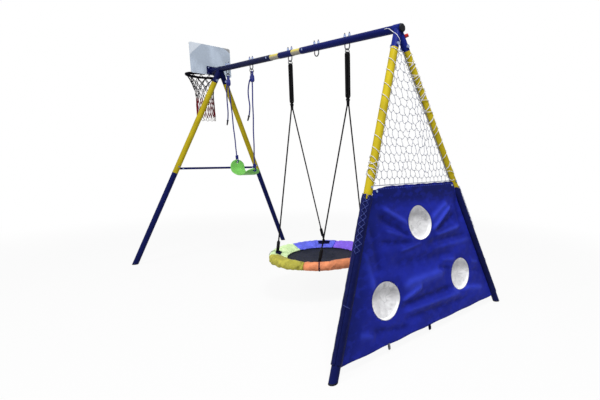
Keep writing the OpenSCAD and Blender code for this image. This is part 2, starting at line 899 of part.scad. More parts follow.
module hoop_net() {
    top_r = hoop_r - hoop_rod_r;
    end_r = hoop_net_end_d / 2;
    waist_r = end_r * 1.06;
    color("white")
        placed()
            translate([hoop_x, 0, hoop_z - hoop_rod_r])
                rotate_extrude()
                    polygon([
                        [top_r + 2.6, -0.1],
                        [top_r + 2.6, -4],
                        [waist_r + 3, -hoop_net_len * 0.38],
                        [end_r + 5, -hoop_net_len * 0.72],
                        [end_r + 3, -hoop_net_len],
                        [end_r, -hoop_net_len],
                        [end_r + 2, -hoop_net_len * 0.72],
                        [waist_r, -hoop_net_len * 0.38],
                        [top_r - 0.4, -4],
                        [top_r - 0.4, -0.1]
                    ]);
}

// Goal net in the plane of the A-frame: one flat piece with a hole for each mesh.
module goal_net() {
    rows = floor((net_top_v - net_low_v) / (mesh_height * 0.75));
    inset = net_edge / cos(leg_angle);
    rim = (net_edge + net_border) / cos(leg_angle);
    hole_w = (mesh_width - net_cord_d) / 2;
    hole_h = (mesh_height - net_cord_d * 1.2) / 2;
    color("white")
        placed()
            a_frame(1)
                translate([-net_cord_d / 2, 0, 0])
                    rotate([90, 0, 90])
                        linear_extrude(net_cord_d)
                            difference() {
                                polygon([
                                    [-leg_y(net_low_v) + inset, net_low_v],
                                    [leg_y(net_low_v) - inset, net_low_v],
                                    [leg_y(net_top_v) - inset, net_top_v],
                                    [-leg_y(net_top_v) + inset, net_top_v]
                                ]);
                                intersection() {
                                    polygon([
                                        [-leg_y(net_low_v) + rim, net_low_v + net_border],
                                        [leg_y(net_low_v) - rim, net_low_v + net_border],
                                        [leg_y(net_top_v) - rim, net_top_v - net_border],
                                        [-leg_y(net_top_v) + rim, net_top_v - net_border]
                                    ]);
                                    union() {
                                        for (j = [0 : rows], i = [-9 : 9]) {
                                            v = net_low_v + net_border + (j + 0.3) * mesh_height * 0.75;
                                            y = (i + (j % 2) / 2) * mesh_width;
                                            if (abs(y) < leg_y(v) - rim + mesh_width * 0.3)
                                                translate([y, v])
                                                    polygon([
                                                        [0, -hole_h],
                                                        [hole_w, -hole_h / 2],
                                                        [hole_w, hole_h / 2],
                                                        [0, hole_h],
                                                        [-hole_w, hole_h / 2],
                                                        [-hole_w, -hole_h / 2]
                                                    ]);
                                        }
                                    }
                                }
                            }
}

module net_lacing() {
    color("white")
        placed()
            for (side = [-1, 1])
                leg_frame(1, side)
                    tube_along(lacing_path(side), 2 * lace_r, 6, [0, 0, 1]);
}

// Target sheet: a folded cloth with three holes, and a sleeve round each leg.
module target_sheet() {
    across = 22;
    up = 22;
    row = across + 1;
    face = row * (up + 1);
    points = [
        for (out = [-1, 1], j = [0 : up], i = [0 : across])
            let (u = 2 * i / across - 1)
            let (top = sheet_top - hem_drop * pow(abs(u), 10))
            let (v = sheet_bottom + (top - sheet_bottom) * j / up)
            let (y = u * sheet_edge(v))
            [sheet_depth(y, v) + out * sheet_thickness / 2, y, v]
    ];
    outer = [
        for (j = [0 : up - 1], i = [0 : across - 1], half = [0, 1])
            let (a = face + j * row + i)
            half == 0 ? [a, a + row, a + row + 1] : [a, a + row + 1, a + 1]
    ];
    inner = [
        for (j = [0 : up - 1], i = [0 : across - 1], half = [0, 1])
            let (a = j * row + i)
            half == 0 ? [a, a + row + 1, a + row] : [a, a + 1, a + row + 1]
    ];
    top_row = up * row;
    rims = [
        for (i = [0 : across - 1], half = [0, 1])
            half == 0 ? [i, i + face, i + face + 1] : [i, i + face + 1, i + 1],
        for (i = [top_row : top_row + across - 1], half = [0, 1])
            half == 0 ? [i, i + face + 1, i + face] : [i, i + 1, i + face + 1],
        for (j = [0 : up - 1], half = [0, 1])
            let (a = j * row)
            half == 0 ? [a, a + face + row, a + face] : [a, a + row, a + face + row],
        for (j = [0 : up - 1], half = [0, 1])
            let (a = j * row + across)
            half == 0 ? [a, a + face, a + face + row] : [a, a + face + row, a + row]
    ];
    color("blue")
        placed() {
            a_frame(1)
                difference() {
                    polyhedron(points = points, faces = concat(outer, inner, rims));
                    for (y = [-target_side, target_side])
                        translate([-cut_reach / 3, y, target_low])
                            rotate([0, 90, 0])
                                cylinder(r = target_r, h = cut_reach);
                    translate([-cut_reach / 3, 0, target_high])
                        rotate([0, 90, 0])
                            cylinder(r = target_r, h = cut_reach);
                    for (side = [-1, 1])
                        translate([0, side * crossbar_bolt_y, 0])
                            cross_hole(crossbar_v, crossbar_bolt_d + 4 * bolt_gap);
                }
            for (side = [-1, 1])
                leg_frame(1, side)
                    translate([0, 0, along_leg(sleeve_top)])
                        sheet_sleeve(side, along_leg(sleeve_low) - along_leg(sleeve_top));
        }
}

// Sleeve of the sheet round a leg, with a slit that is laced together. The slit's angle
// is measured from straight out, away from the sheet, towards the sheet's outer face.
module sheet_sleeve(side, len) {
    linear_extrude(len)
        difference() {
            circle(sleeve_r);
            circle(tube_r + sleeve_gap);
            polygon([
                [0, 0],
                for (a = [slit_middle - slit_half, slit_middle, slit_middle + slit_half])
                    2 * sleeve_r * [sin(a), -side * cos(a)]
            ]);
        }
}

module sheet_lacing() {
    color("white")
        placed()
            for (side = [-1, 1])
                leg_frame(1, side)
                    tube_along(sheet_lace_path(side), 2 * lace_r, 6, [0, -side, 0]);
}

// Bag behind a target hole, closed at the back.
module target_pocket(y, v) {
    color("lightgray")
        placed()
            a_frame(1)
                translate([-sheet_thickness / 2 - 0.5, y, v])
                    rotate([0, -90, 0])
                        rotate_extrude()
                            polygon([
                                [target_r - 2, 0],
                                [target_r + 12, 0],
                                [target_r + 12, pocket_t],
                                [target_r + 2, pocket_t],
                                [target_r - 12, pocket_depth - 14],
                                [target_r - 34, pocket_depth],
                                [0, pocket_depth],
                                [0, pocket_depth - pocket_t],
                                [target_r - 35, pocket_depth - pocket_t],
                                [target_r - 14, pocket_depth - 16]
                            ]);
}

module target_pocket_high() {
    target_pocket(0, target_high);
}

module target_pocket_front() {
    target_pocket(-target_side, target_low);
}

module target_pocket_back() {
    target_pocket(target_side, target_low);
}

module hanger_ring(x) {
    translate([x, 0, ring_z])
        rotate([0, 90, 0])
            rotate_extrude()
                translate([ring_r, 0]) circle(ring_wire_r, $fn = 24);
}

module belt_rings() {
    color("silver")
        placed()
            for (x = belt_hang_x)
                hanger_ring(x);
}

// Thin eye for the ring at the top of an adjuster and the thick body below it.
module rope_adjuster(x) {
    w = adjuster_width / 2;
    body_top = adjuster_eye_z - 18;
    translate([x, adjuster_eye_t / 2, 0])
        rotate([90, 0, 0])
            linear_extrude(adjuster_eye_t)
                difference() {
                    union() {
                        translate([0, adjuster_eye_z]) circle(adjuster_top_r);
                        translate([-adjuster_top_r, body_top - 4])
                            square([2 * adjuster_top_r, adjuster_eye_z - body_top + 4]);
                    }
                    translate([0, adjuster_eye_z]) circle(adjuster_eye_r);
                }
    translate([x, adjuster_thickness / 2, 0])
        rotate([90, 0, 0])
            linear_extrude(adjuster_thickness)
                polygon([
                    [-adjuster_top_r, body_top],
                    [adjuster_top_r, body_top],
                    [w, body_top - 14],
                    [w, adjuster_low_z + 12],
                    [w - 12, adjuster_low_z],
                    [12 - w, adjuster_low_z],
                    [-w, adjuster_low_z + 12],
                    [-w, body_top - 14]
                ]);
}

module belt_adjusters() {
    color("dodgerblue")
        placed()
            for (i = [0, 1])
                difference() {
                    rope_adjuster(belt_hang_x[i]);
                    translate(belt_rope_top(i))
                        rotate([0, belt_rope_tilt(i), 0])
                            translate([0, 0, -20])
                                cylinder(r = belt_rope_r + 0.1, h = 50, $fn = 24);
                }
}

// Direction of a seat end's tab, away from the seat; i is 0 at the left and 1 at the right.
function tab_way(i) = [(i == 0 ? -1 : 1) * cos(seat_tilt[i]), 0, sin(seat_tilt[i])];

// Where a seat end's bend passes into its tab.
function tab_start(i) = [
    belt_x + (i == 0 ? -1 : 1) * (seat_arc_x + seat_end_r * sin(seat_tilt[i])),
    0,
    seat_end_z - seat_end_r * cos(seat_tilt[i])
];
function seat_hole(i) = tab_start(i) + tab_way(i) * (seat_tab_r - seat_hole_edge);
function seat_loop(i) = seat_hole(i) + tab_way(i) * seat_loop_r;
function belt_rope_top(i) = [belt_hang_x[i], 0, adjuster_low_z + 2];
function belt_rope_low(i) = seat_loop(i) + [0, 0, seat_loop_r + belt_rope_r * 1.6];
function belt_rope_tilt(i) =
    let (d = belt_rope_top(i) - belt_rope_low(i))
    atan2(d[0], d[2]);

// One swing rope: up into the adjuster, down to the knot, and the loop through the seat.
module belt_rope(i) {
    top = belt_rope_top(i);
    low = belt_rope_low(i);
    color("steelblue")
        placed() {
            translate(low)
                rotate([0, belt_rope_tilt(i), 0])
                    cylinder(r = belt_rope_r, h = norm(top - low) + 26, $fn = 24);
            translate(low) sphere(belt_rope_r * 2.2, $fn = 32);
            translate(seat_loop(i))
                rotate([90, 0, 0])
                    rotate_extrude()
                        translate([seat_loop_r, 0]) circle(belt_rope_r, $fn = 24);
        }
}

module belt_rope_left() {
    belt_rope(0);
}

module belt_rope_right() {
    belt_rope(1);
}

module belt_tail(i, route) {
    color("steelblue")
        placed()
            translate([belt_hang_x[i], 0, adjuster_low_z])
                tube_along(smooth_route(route, 2), belt_rope_d, 10, [0, 1, 0]);
}

module belt_tail_left() {
    belt_tail(0, tail_left_route);
}

module belt_tail_right() {
    belt_tail(1, tail_right_route);
}

// Middle line of the belt seat from a point right of its lowest place to the tip of the right
// (i = 1) or mirrored left (i = 0) tab: across, up, and the line's slope.
function seat_half_line(i) = concat(
    [
        for (k = [1 : 8])
            let (a = seat_bend * k / 8)
            [seat_middle_r * sin(a), seat_low_z + seat_middle_r * (1 - cos(a)), a]
    ],
    [
        for (k = [1 : 10])
            let (a = seat_bend + seat_turn[i] * k / 10)
            [seat_arc_x + seat_end_r * sin(a), seat_end_z - seat_end_r * cos(a), a]
    ],
    [
        let (a = seat_tilt[i])
        [
            seat_arc_x + seat_end_r * sin(a) + seat_tab_r * cos(a),
            seat_end_z - seat_end_r * cos(a) + seat_tab_r * sin(a),
            a
        ]
    ]
);

// The belt seat's section: its middle line from tip to tip, moved up and down by half a thickness.
function seat_section() =
    let (left = seat_half_line(0))
    let (line = concat(
        [for (k = [len(left) - 1 : -1 : 0]) [-left[k][0], left[k][1], -left[k][2]]],
        [[0, seat_low_z, 0]],
        seat_half_line(1)
    ))
    let (t = seat_thickness / 2)
    concat(
        [for (p = line) [p[0] - t * sin(p[2]), p[1] + t * cos(p[2])]],
        [for (k = [len(line) - 1 : -1 : 0]) let (p = line[k]) [p[0] + t * sin(p[2]), p[1] - t * cos(p[2])]]
    );

// What is cut off a square seat end to leave a half disc, in the frame of its tab.
module tab_corners() {
    translate([-2 * seat_thickness, 0, 0])
        rotate([90, 0, 90])
            linear_extrude(4 * seat_thickness)
                difference() {
                    translate([-seat_tab_r - 1, 3]) square([2 * seat_tab_r + 2, seat_tab_r + 2]);
                    circle(seat_tab_r);
                }
}

// Belt seat: a wide strip bent into a hanging curve, with a rounded tab at each end. The
// left tab stands upright and the right one leans outwards.
module belt_seat() {
    color("limegreen")
        placed()
            difference() {
                translate([belt_x, seat_width / 2, 0])
                    rotate([90, 0, 0])
                        linear_extrude(seat_width) polygon(seat_section());
                for (i = [0, 1]) {
                    translate(tab_start(i)) rotate([0, 90 - seat_tilt[i], 0]) tab_corners();
                    translate(seat_hole(i))
                        rotate([0, 180 - seat_tilt[i], 0])
                            cylinder(r = seat_hole_r, h = 4 * seat_thickness, center = true, $fn = 32);
                }
            }
}

module saucer_rings() {
    color("silver")
        placed()
            for (x = saucer_hang_x)
                hanger_ring(x);
}

// Two hanging loops of rope side by side through each ring.
module saucer_straps() {
    low_z = gather_top_z + strap_loop_r;
    high_z = strap_top_z - strap_loop_r;
    color("dimgray")
        placed()
            for (x = saucer_hang_x, y = [-strap_pair_y, strap_pair_y]) {
                for (s = [-1, 1])
                    translate([x + s * strap_loop_r, y, low_z])
                        cylinder(r = strap_rope_r, h = high_z - low_z, $fn = 24);
                translate([x, y, high_z])
                    rotate([90, 0, 0])
                        rotate_extrude(angle = 180)
                            translate([strap_loop_r, 0]) circle(strap_rope_r, $fn = 24);
                translate([x, y, low_z])
                    rotate([90, 0, 0])
                        rotate_extrude(angle = 180, start = 180)
                            translate([strap_loop_r, 0]) circle(strap_rope_r, $fn = 24);
            }
}

module saucer_gathers() {
    color("black")
        placed()
            for (x = saucer_hang_x)
                translate([x, 0, rope_fork_height])
                    cylinder(r1 = gather_r, r2 = gather_r * 1.15, h = gather_len - strap_rope_r, $fn = 32);
}

function rim_angle(s, side) = atan2(side, s) + rim_turn;
function rim_point(s, side) =
    let (a = rim_angle(s, side))
    [saucer_x + attach_r * cos(a), attach_r * sin(a), attach_z];
function fork_point(s, side) =
    [saucer_hang_x[s < 0 ? 0 : 1], side * (saucer_rope_r + 0.4), rope_fork_height + 12];

// Turns a piece so that its Z runs from a rim point up to the fork.
module along_rope(s, side) {
    d = fork_point(s, side) - rim_point(s, side);
    translate(rim_point(s, side))
        rotate([0, acos(d[2] / norm(d)), atan2(d[1], d[0])])
            children();
}

module saucer_ropes() {
    color("black")
        placed()
            for (s = [-1, 1], side = [-1, 1]) {
                len = norm(fork_point(s, side) - rim_point(s, side));
                along_rope(s, side) cylinder(r = saucer_rope_r, h = len, $fn = 24);
            }
}

module saucer_rope_sleeves() {
    color("dimgray")
        placed()
            for (s = [-1, 1], side = [-1, 1])
                along_rope(s, side)
                    translate([0, 0, 22])
                        difference() {
                            cylinder(r = saucer_rope_r * 2, h = rope_sleeve_len, $fn = 32);
                            translate([0, 0, -1])
                                cylinder(r = saucer_rope_r + 0.1, h = rope_sleeve_len + 2, $fn = 24);
                        }
}

// Strip of webbing on the pads' inner slope, between two points of their section.
module slope_strip(len, high, low) {
    turn = len / (saucer_r - rope_end_in) * 180 / PI;
    rotate([0, 0, -turn / 2])
        rotate_extrude(angle = turn, $fn = 120)
            translate([saucer_r, 0])
                polygon([
                    high + skirt_out * patch_gap,
                    low + skirt_out * patch_gap,
                    low + skirt_out * (patch_gap + webbing_t),
                    high + skirt_out * (patch_gap + webbing_t)
                ]);
}

// Webbing loop over the outside of the pad at each rope, ending in a patch on the
// pad's inner slope.
module rim_band(angle) {
    patch_half = skirt_way * patch_height / 2;
    translate([saucer_x, 0, saucer_height])
        rotate([0, 0, angle]) {
            translate([saucer_r, -webbing_width / 2, 0])
                rotate([90, 0, 0])
                    translate([0, 0, -webbing_width])
                        rotate_extrude(angle = 212, start = -95)
                            translate([webbing_r, 0]) square([webbing_t, webbing_width]);
            slope_strip(webbing_width, skirt_top, patch_middle);
            slope_strip(patch_len, patch_middle - patch_half, patch_middle + patch_half);
        }
}

module saucer_rim_loops() {
    color("black")
        placed()
            for (s = [-1, 1], side = [-1, 1])
                rim_band(rim_angle(s, side));
}

module saucer_rim() {
    color("gray")
        placed()
            translate([saucer_x, 0, saucer_height])
                rotate_extrude($fn = 120)
                    translate([saucer_r, 0])
                        difference() {
                            circle(rim_tube_r, $fn = 32);
                            circle(rim_tube_r - 1.2, $fn = 32);
                        }
}

module saucer_mat() {
    color("black")
        placed()
            translate([saucer_x, 0, mat_z])
                cylinder(r = saucer_r - 1, h = mat_thickness, $fn = 96);
}

// Outer side of a rim pad's section, from its lower lip over the top to the skirt's end.
function pad_outside(plump) = [
    for (k = [0 : 8])
        let (a = -85 + 25 * k)
        [pad_r * plump * cos(a), pad_r * plump * sin(a)],
    skirt_low,
    [pad_open_r - saucer_r + 40 * (1 - plump), -4]
];

// Inner side of the section, from the lip round the rim tube to the skirt's end.
function pad_inside(plump) = [
    [3, mat_z - saucer_height - 0.6],
    for (k = [0 : 7])
        let (a = -60 + 34 * k)
        [pad_hole_r * cos(a), pad_hole_r * sin(a)],
    [pad_open_r - saucer_r + 50, -rim_tube_r + 0.4],
    [pad_open_r - saucer_r + 40 * (1 - plump), -rim_tube_r + 0.4]
];

// Curved pad over a sixth of the rim: full in the middle and drawn in at its two ends.
// Its section is open below, where the mat comes in.
module rim_pad(index) {
    side = 11;
    ring = 2 * side;
    middle = pad_start + pad_step * (index + 0.5);
    sections = [
        for (i = [0 : pad_slices])
            let (t = 2 * i / pad_slices - 1)
            let (plump = 1 - 0.12 * pow(abs(t), 4))
            let (a = middle + pad_half_angle * t)
            for (q = concat(pad_outside(plump), pad_inside(plump)))
                [(saucer_r + q[0]) * cos(a), (saucer_r + q[0]) * sin(a), q[1]]
    ];
    outside = [
        for (i = [0 : pad_slices - 1], k = [0 : side - 2], half = [0, 1])
            let (a = i * ring + k)
            half == 0 ? [a, a + ring, a + ring + 1] : [a, a + ring + 1, a + 1]
    ];
    inside = [
        for (i = [0 : pad_slices - 1], k = [side : ring - 2], half = [0, 1])
            let (a = i * ring + k)
            half == 0 ? [a, a + ring + 1, a + ring] : [a, a + 1, a + ring + 1]
    ];
    lips = [
        for (i = [0 : pad_slices - 1], half = [0, 1])
            let (a = i * ring)
            half == 0 ? [a, a + side + ring, a + ring] : [a, a + side, a + side + ring],
        for (i = [0 : pad_slices - 1], half = [0, 1])
            let (a = i * ring + side - 1)
            half == 0 ? [a, a + ring, a + side + ring] : [a, a + side + ring, a + side]
    ];
    last = pad_slices * ring;
    ends = [
        for (k = [0 : side - 2], half = [0, 1])
            half == 0 ? [k, k + 1, k + 1 + side] : [k, k + 1 + side, k + side],
        for (k = [last : last + side - 2], half = [0, 1])
            half == 0 ? [k, k + 1 + side, k + 1] : [k, k + side, k + 1 + side]
    ];
    placed()
        translate([saucer_x, 0, saucer_height])
            polyhedron(points = sections, faces = concat(outside, inside, lips, ends));
}

module saucer_pad_pink() {
    color("deeppink") rim_pad(0);
}

module saucer_pad_purple() {
    color("purple") rim_pad(1);
}

module saucer_pad_blue() {
    color("slateblue") rim_pad(2);
}

module saucer_pad_green() {
    color("yellowgreen") rim_pad(3);
}

module saucer_pad_yellow() {
    color("yellow") rim_pad(4);
}

module saucer_pad_orange() {
    color("orange") rim_pad(5);
}

beam_hoop_tube();
beam_goal_tube();
beam_joint_tube();
beam_joint_collar();
beam_joint_bolts();
beam_end_cap();
hoop_corner_bracket();
goal_corner_bracket();
corner_bolts();
bracket_plugs();
upper_leg_hoop_front();
upper_leg_hoop_back();
upper_leg_goal_front();
upper_leg_goal_back();
lower_leg_hoop_front();
lower_leg_hoop_back();
lower_leg_goal_front();
lower_leg_goal_back();
leg_joint_bolts();
foot_caps();
hoop_crossbar();
goal_crossbar();
crossbar_bolts();
swing_u_bolts();
spare_u_bolt();
u_bolt_nuts();
hoop_board();
hoop_bracket();
hoop_bolts();
hoop_ring();
hoop_net();
goal_net();
net_lacing();
target_sheet();
sheet_lacing();
target_pocket_high();
target_pocket_front();
target_pocket_back();
belt_rings();
belt_adjusters();
belt_rope_left();
belt_rope_right();
belt_tail_left();
belt_tail_right();
belt_seat();
saucer_rings();
saucer_straps();
saucer_gathers();
saucer_ropes();
saucer_rope_sleeves();
saucer_rim_loops();
saucer_rim();
saucer_mat();
saucer_pad_pink();
saucer_pad_purple();
saucer_pad_blue();
saucer_pad_green();
saucer_pad_yellow();
saucer_pad_orange();
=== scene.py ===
import math

import bpy
import numpy as np
from mathutils import Matrix, Vector


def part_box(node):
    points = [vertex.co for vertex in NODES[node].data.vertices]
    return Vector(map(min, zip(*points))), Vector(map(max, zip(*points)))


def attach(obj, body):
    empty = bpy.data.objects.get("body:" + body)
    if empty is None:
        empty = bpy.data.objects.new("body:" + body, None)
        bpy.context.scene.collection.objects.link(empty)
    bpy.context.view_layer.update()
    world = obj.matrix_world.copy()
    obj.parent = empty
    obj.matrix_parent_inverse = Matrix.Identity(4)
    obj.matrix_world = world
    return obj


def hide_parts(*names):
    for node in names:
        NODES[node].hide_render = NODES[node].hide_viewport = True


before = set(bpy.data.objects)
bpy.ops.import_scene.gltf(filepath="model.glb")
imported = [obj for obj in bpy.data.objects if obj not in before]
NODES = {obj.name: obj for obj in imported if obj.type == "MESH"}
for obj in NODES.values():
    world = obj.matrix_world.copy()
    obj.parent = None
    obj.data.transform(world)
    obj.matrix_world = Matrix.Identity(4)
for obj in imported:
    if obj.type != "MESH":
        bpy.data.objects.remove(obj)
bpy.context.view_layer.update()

# Sizes of the set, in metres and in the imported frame
BEAM_HEIGHT = 1.8
FOOT_SPREAD = 1.5
FOOT_SPAN = 2.96
FRAME_LEAN = 0.32
TUBE_R = 0.023
MIDDLE_X = sum(corner.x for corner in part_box("foot_caps")) / 2
SLANT = math.hypot(FRAME_LEAN, BEAM_HEIGHT)
LEAN = math.atan2(FRAME_LEAN, BEAM_HEIGHT)
LEG_ANGLE = math.atan2(FOOT_SPREAD / 2, SLANT)
APEX_X = MIDDLE_X + FOOT_SPAN / 2 - FRAME_LEAN
GOAL_FACE = (math.cos(LEAN), 0, math.sin(LEAN))

# Belt swing
RING_WIRE_R = 0.003
BELT_HANG_X = (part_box("belt_rings")[0].x + RING_WIRE_R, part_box("belt_rings")[1].x - RING_WIRE_R)
ADJUSTER_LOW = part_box("belt_adjusters")[0].z
BELT_ROPE_R = 0.005
SEAT_THICK = 0.008
SEAT_HALF_WIDTH = 0.065
SEAT_MIDDLE_R = 0.33
SEAT_END_R = 0.05
SEAT_BEND = math.radians(20)
SEAT_TILT = (math.pi / 2, SEAT_BEND + math.radians(15))
SEAT_HOLE_R = 0.0095
SEAT_LOOP_R = 0.02
KNOT_R = 0.0085
KNOT_LEN = 0.028
KNOT_TURNS = 3.2
SEAT_TAB = SEAT_HALF_WIDTH - 0.024
SEAT_END_Z = 0.95 - SEAT_TAB
SEAT_ARC_X = (SEAT_MIDDLE_R - SEAT_END_R) * math.sin(SEAT_BEND)
SEAT_DROP = SEAT_MIDDLE_R * (1 - math.cos(SEAT_BEND)) + SEAT_END_R * math.cos(SEAT_BEND)
BELT_X = sum(BELT_HANG_X) / 2

# Saucer swing
SAUCER_X = sum(corner.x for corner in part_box("saucer_rim")) / 2
SAUCER_HANG_X = (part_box("saucer_rings")[0].x + RING_WIRE_R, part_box("saucer_rings")[1].x - RING_WIRE_R)
RIM_Z = sum(corner.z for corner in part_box("saucer_rim")) / 2
RIM_R = 0.35
PAD_R = 0.033
PAD_OPEN_R = 0.25
SAUCER_ROPE_R = 0.005
ROPE_COVER_R = 0.0115
ROPE_KNOT_R = 0.0072
ROPE_KNOT_TURNS = 2.2
ROPE_END_IN = 0.026
ROPE_TURN = math.radians(6.5)
ROPE_TURNS = np.radians([45, 135, 225, 315]) + ROPE_TURN
FORK_Z = 1.384
GATHER_LEN = 0.054
STRAP_R = 0.0045
STRAP_HALF = 0.015
STRAP_PAIR_Y = 0.0047
STRAP_NEXT = 2.06 * STRAP_R
STRAP_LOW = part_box("saucer_straps")[0].z + STRAP_R
STRAP_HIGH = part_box("saucer_straps")[1].z - STRAP_R
MAT_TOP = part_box("saucer_mat")[1].z
MAT_R = 0.349
MAT_THICK = 0.003

# Goal end
CROSSBAR_UP = 0.894
SHEET_LOW = 0.056
SHEET_TOP = 0.919
SHEET_THICK = 0.0014
SLEEVE_R = TUBE_R + 0.0024 + SHEET_THICK / 2
HEM_OUT = 0.0117
HEM_DROP = 0.026
HEM_RISE = 0.115
HEM_FLAT = 0.03
SLEEVE_TOP = SHEET_TOP - HEM_DROP - 0.017
SLEEVE_LOW = SHEET_LOW + 0.022
TARGET_R = 0.105
HOLE_SNAP = 0.0037
HOLE_HEM_R = 0.0014
POCKET_DEPTH = 0.046
POCKET_THICK = 0.001
TARGETS = {"high": (0.0, 0.686), "front": (-0.345, 0.298), "back": (0.345, 0.298)}
# Slit of the sleeves, in degrees round the leg
SLIT_MIDDLE = 45
SLIT_HALF = 11
NET_LOW = SHEET_TOP + 0.006
NET_TOP = SLANT - 0.130
NET_EDGE = TUBE_R + 0.004
MESH_WIDE = 0.039
MESH_SIDE = 0.034
MESH_RISE = 0.014
NET_CORD_R = 0.0013
NET_BORDER_R = 0.0022
LACING_R = 0.0017
SHEET_LACE_R = 0.001

# Hoop end
HOOP_R = 0.145
HOOP_ROD_R = 0.006
HOOP_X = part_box("hoop_ring")[0].x + HOOP_R + HOOP_ROD_R
HOOP_Z = BEAM_HEIGHT - 0.022
HOOP_NET_LEN = 0.43
HOOP_CORD_R = 0.0035
HOOP_LOOP_R = 0.0024
LASHING_R = 0.0034
LASHING_TURNS = 108
LASHING_OPEN = 0.3


def unit(vectors):
    """Vectors of length one along the last axis."""
    return vectors / np.linalg.norm(vectors, axis=-1, keepdims=True)


def smooth(share):
    """Smooth step from 0 to 1."""
    share = np.clip(share, 0, 1)
    return share * share * (3 - 2 * share)


def ripple(*terms):
    """Sum of sines, each given as (height, phase array)."""
    return sum(height * np.sin(phase) for height, phase in terms)


def cross_waves(y, up, *waves):
    """Sum of slanting sines over the goal end, each given as (height, waves along it, waves up it)."""
    return sum(height * np.sin(along * y + rise * up) for height, along, rise in waves)


def far_along(line):
    """Length along a line up to each of its points."""
    return np.r_[0, np.cumsum(np.linalg.norm(np.diff(line, axis=0), axis=-1))]


def round_turn(count):
    """Angles of a full turn in even steps, without its end."""
    return np.arange(count) * 2 * math.pi / count


def turned_from(turn, middle):
    """Angle between two directions, from nought to half a turn."""
    return np.abs((turn - middle + math.pi) % (2 * math.pi) - math.pi)


def superround(angle, wide, high):
    """Across and out of a rounded box: the powers of the angle's cosine and sine, with their signs."""
    across, out = np.cos(angle), np.sin(angle)
    return np.sign(across) * np.abs(across) ** wide, np.sign(out) * np.abs(out) ** high


# Camera, light and floor
EYE = (3.0643, -1.845, 1.110)
LOOK = (-0.623, 0.760, -0.185)
ROLL = 0.0242
LENS = 24.66
SHIFT = (-0.221, 0.045)
FLOOR_HALF = 20
FLOOR_Z = -0.0005
SKY_FILL = 0.24


def make_camera():
    """Camera at the photograph's angle: right and up lie square to the line of sight, turned by the roll."""
    ahead = unit(np.array(LOOK))
    right = unit(np.cross(ahead, (0, 0, 1)))
    above = np.cross(right, ahead)
    turned_right = math.cos(ROLL) * right + math.sin(ROLL) * above
    turned_up = math.cos(ROLL) * above - math.sin(ROLL) * right
    data = bpy.data.cameras.new("photo_camera")
    data.lens = LENS
    data.sensor_width = 36
    data.shift_x, data.shift_y = SHIFT
    camera = bpy.data.objects.new("photo_camera", data)
    camera.matrix_world = Matrix(np.c_[turned_right, turned_up, -ahead, EYE].tolist() + [[0, 0, 0, 1]])
    bpy.context.scene.collection.objects.link(camera)
    bpy.context.scene.camera = camera


def make_lamp(name, place, aim, size, power):
    """Square soft lamp at a place, facing the aim."""
    data = bpy.data.lights.new(name, "AREA")
    data.size = size
    data.energy = power
    lamp = bpy.data.objects.new(name, data)
    lamp.location = place
    lamp.rotation_euler = (Vector(aim) - Vector(place)).to_track_quat("-Z", "Y").to_euler()
    bpy.context.scene.collection.objects.link(lamp)


def linear(red, green, blue):
    """Linear colour of a screen colour given from 0 to 255."""
    share = np.array([red, green, blue]) / 255
    value = np.where(share <= 0.04045, share / 12.92, ((share + 0.055) / 1.055) ** 2.4)
    return (*value.tolist(), 1.0)


def shade(colour, factor):
    """A colour made darker or lighter by a factor."""
    return (*(min(1.0, channel * factor) for channel in colour[:3]), 1.0)


class Value:
    """A socket of a tree; sums written with it add Math nodes."""

    def __init__(self, tree, socket):
        self.tree = tree
        self.socket = socket

    def maths(self, operation, first, second=0.0):
        return self.tree.node("ShaderNodeMath", {"operation": operation}, {0: first, 1: second})

    def __add__(self, other):
        return self.maths("ADD", self, other)

    def __radd__(self, other):
        return self.maths("ADD", other, self)

    def __sub__(self, other):
        return self.maths("SUBTRACT", self, other)

    def __rsub__(self, other):
        return self.maths("SUBTRACT", other, self)

    def __mul__(self, other):
        return self.maths("MULTIPLY", self, other)

    def __rmul__(self, other):
        return self.maths("MULTIPLY", other, self)

    def __truediv__(self, other):
        return self.maths("DIVIDE", self, other)

    def __rtruediv__(self, other):
        return self.maths("DIVIDE", other, self)

    def sine(self):
        return self.maths("SINE", self)

    def size(self):
        return self.maths("ABSOLUTE", self)

    def reach(self, other):
        """Length of the two values taken as the sides of a right angle."""
        return self.maths("SQRT", self * self + other * other)

    def between(self, low, high):
        """0 below low, 1 above high, smooth between them."""
        settings = {"interpolation_type": "SMOOTHSTEP"}
        return self.tree.node("ShaderNodeMapRange", settings, {0: self, 1: low, 2: high})


class Tree:
    """The nodes of a material or of the surroundings."""

    def __init__(self, owner):
        owner.use_nodes = True
        self.tree = owner.node_tree

    def feed(self, made, sockets):
        """Links or sets a node's sockets."""
        for key, value in sockets.items():
            if isinstance(value, Value):
                self.tree.links.new(value.socket, made.inputs[key])
            else:
                made.inputs[key].default_value = value

    def node(self, kind, settings=None, sockets=None, out=0):
        """Any node: its type, its settings, its sockets, and which output is taken."""
        made = self.tree.nodes.new(kind)
        for key, value in (settings or {}).items():
            setattr(made, key, value)
        self.feed(made, sockets or {})
        return Value(self, made.outputs[out])

    def seen(self):
        """1 for rays that look, mirror or pass through, 0 for light that scatters."""
        words = ("Camera", "Glossy", "Transmission")
        rays = [self.node("ShaderNodeLightPath", None, None, f"Is {word} Ray") for word in words]
        return sum(rays).between(0.0, 0.5)


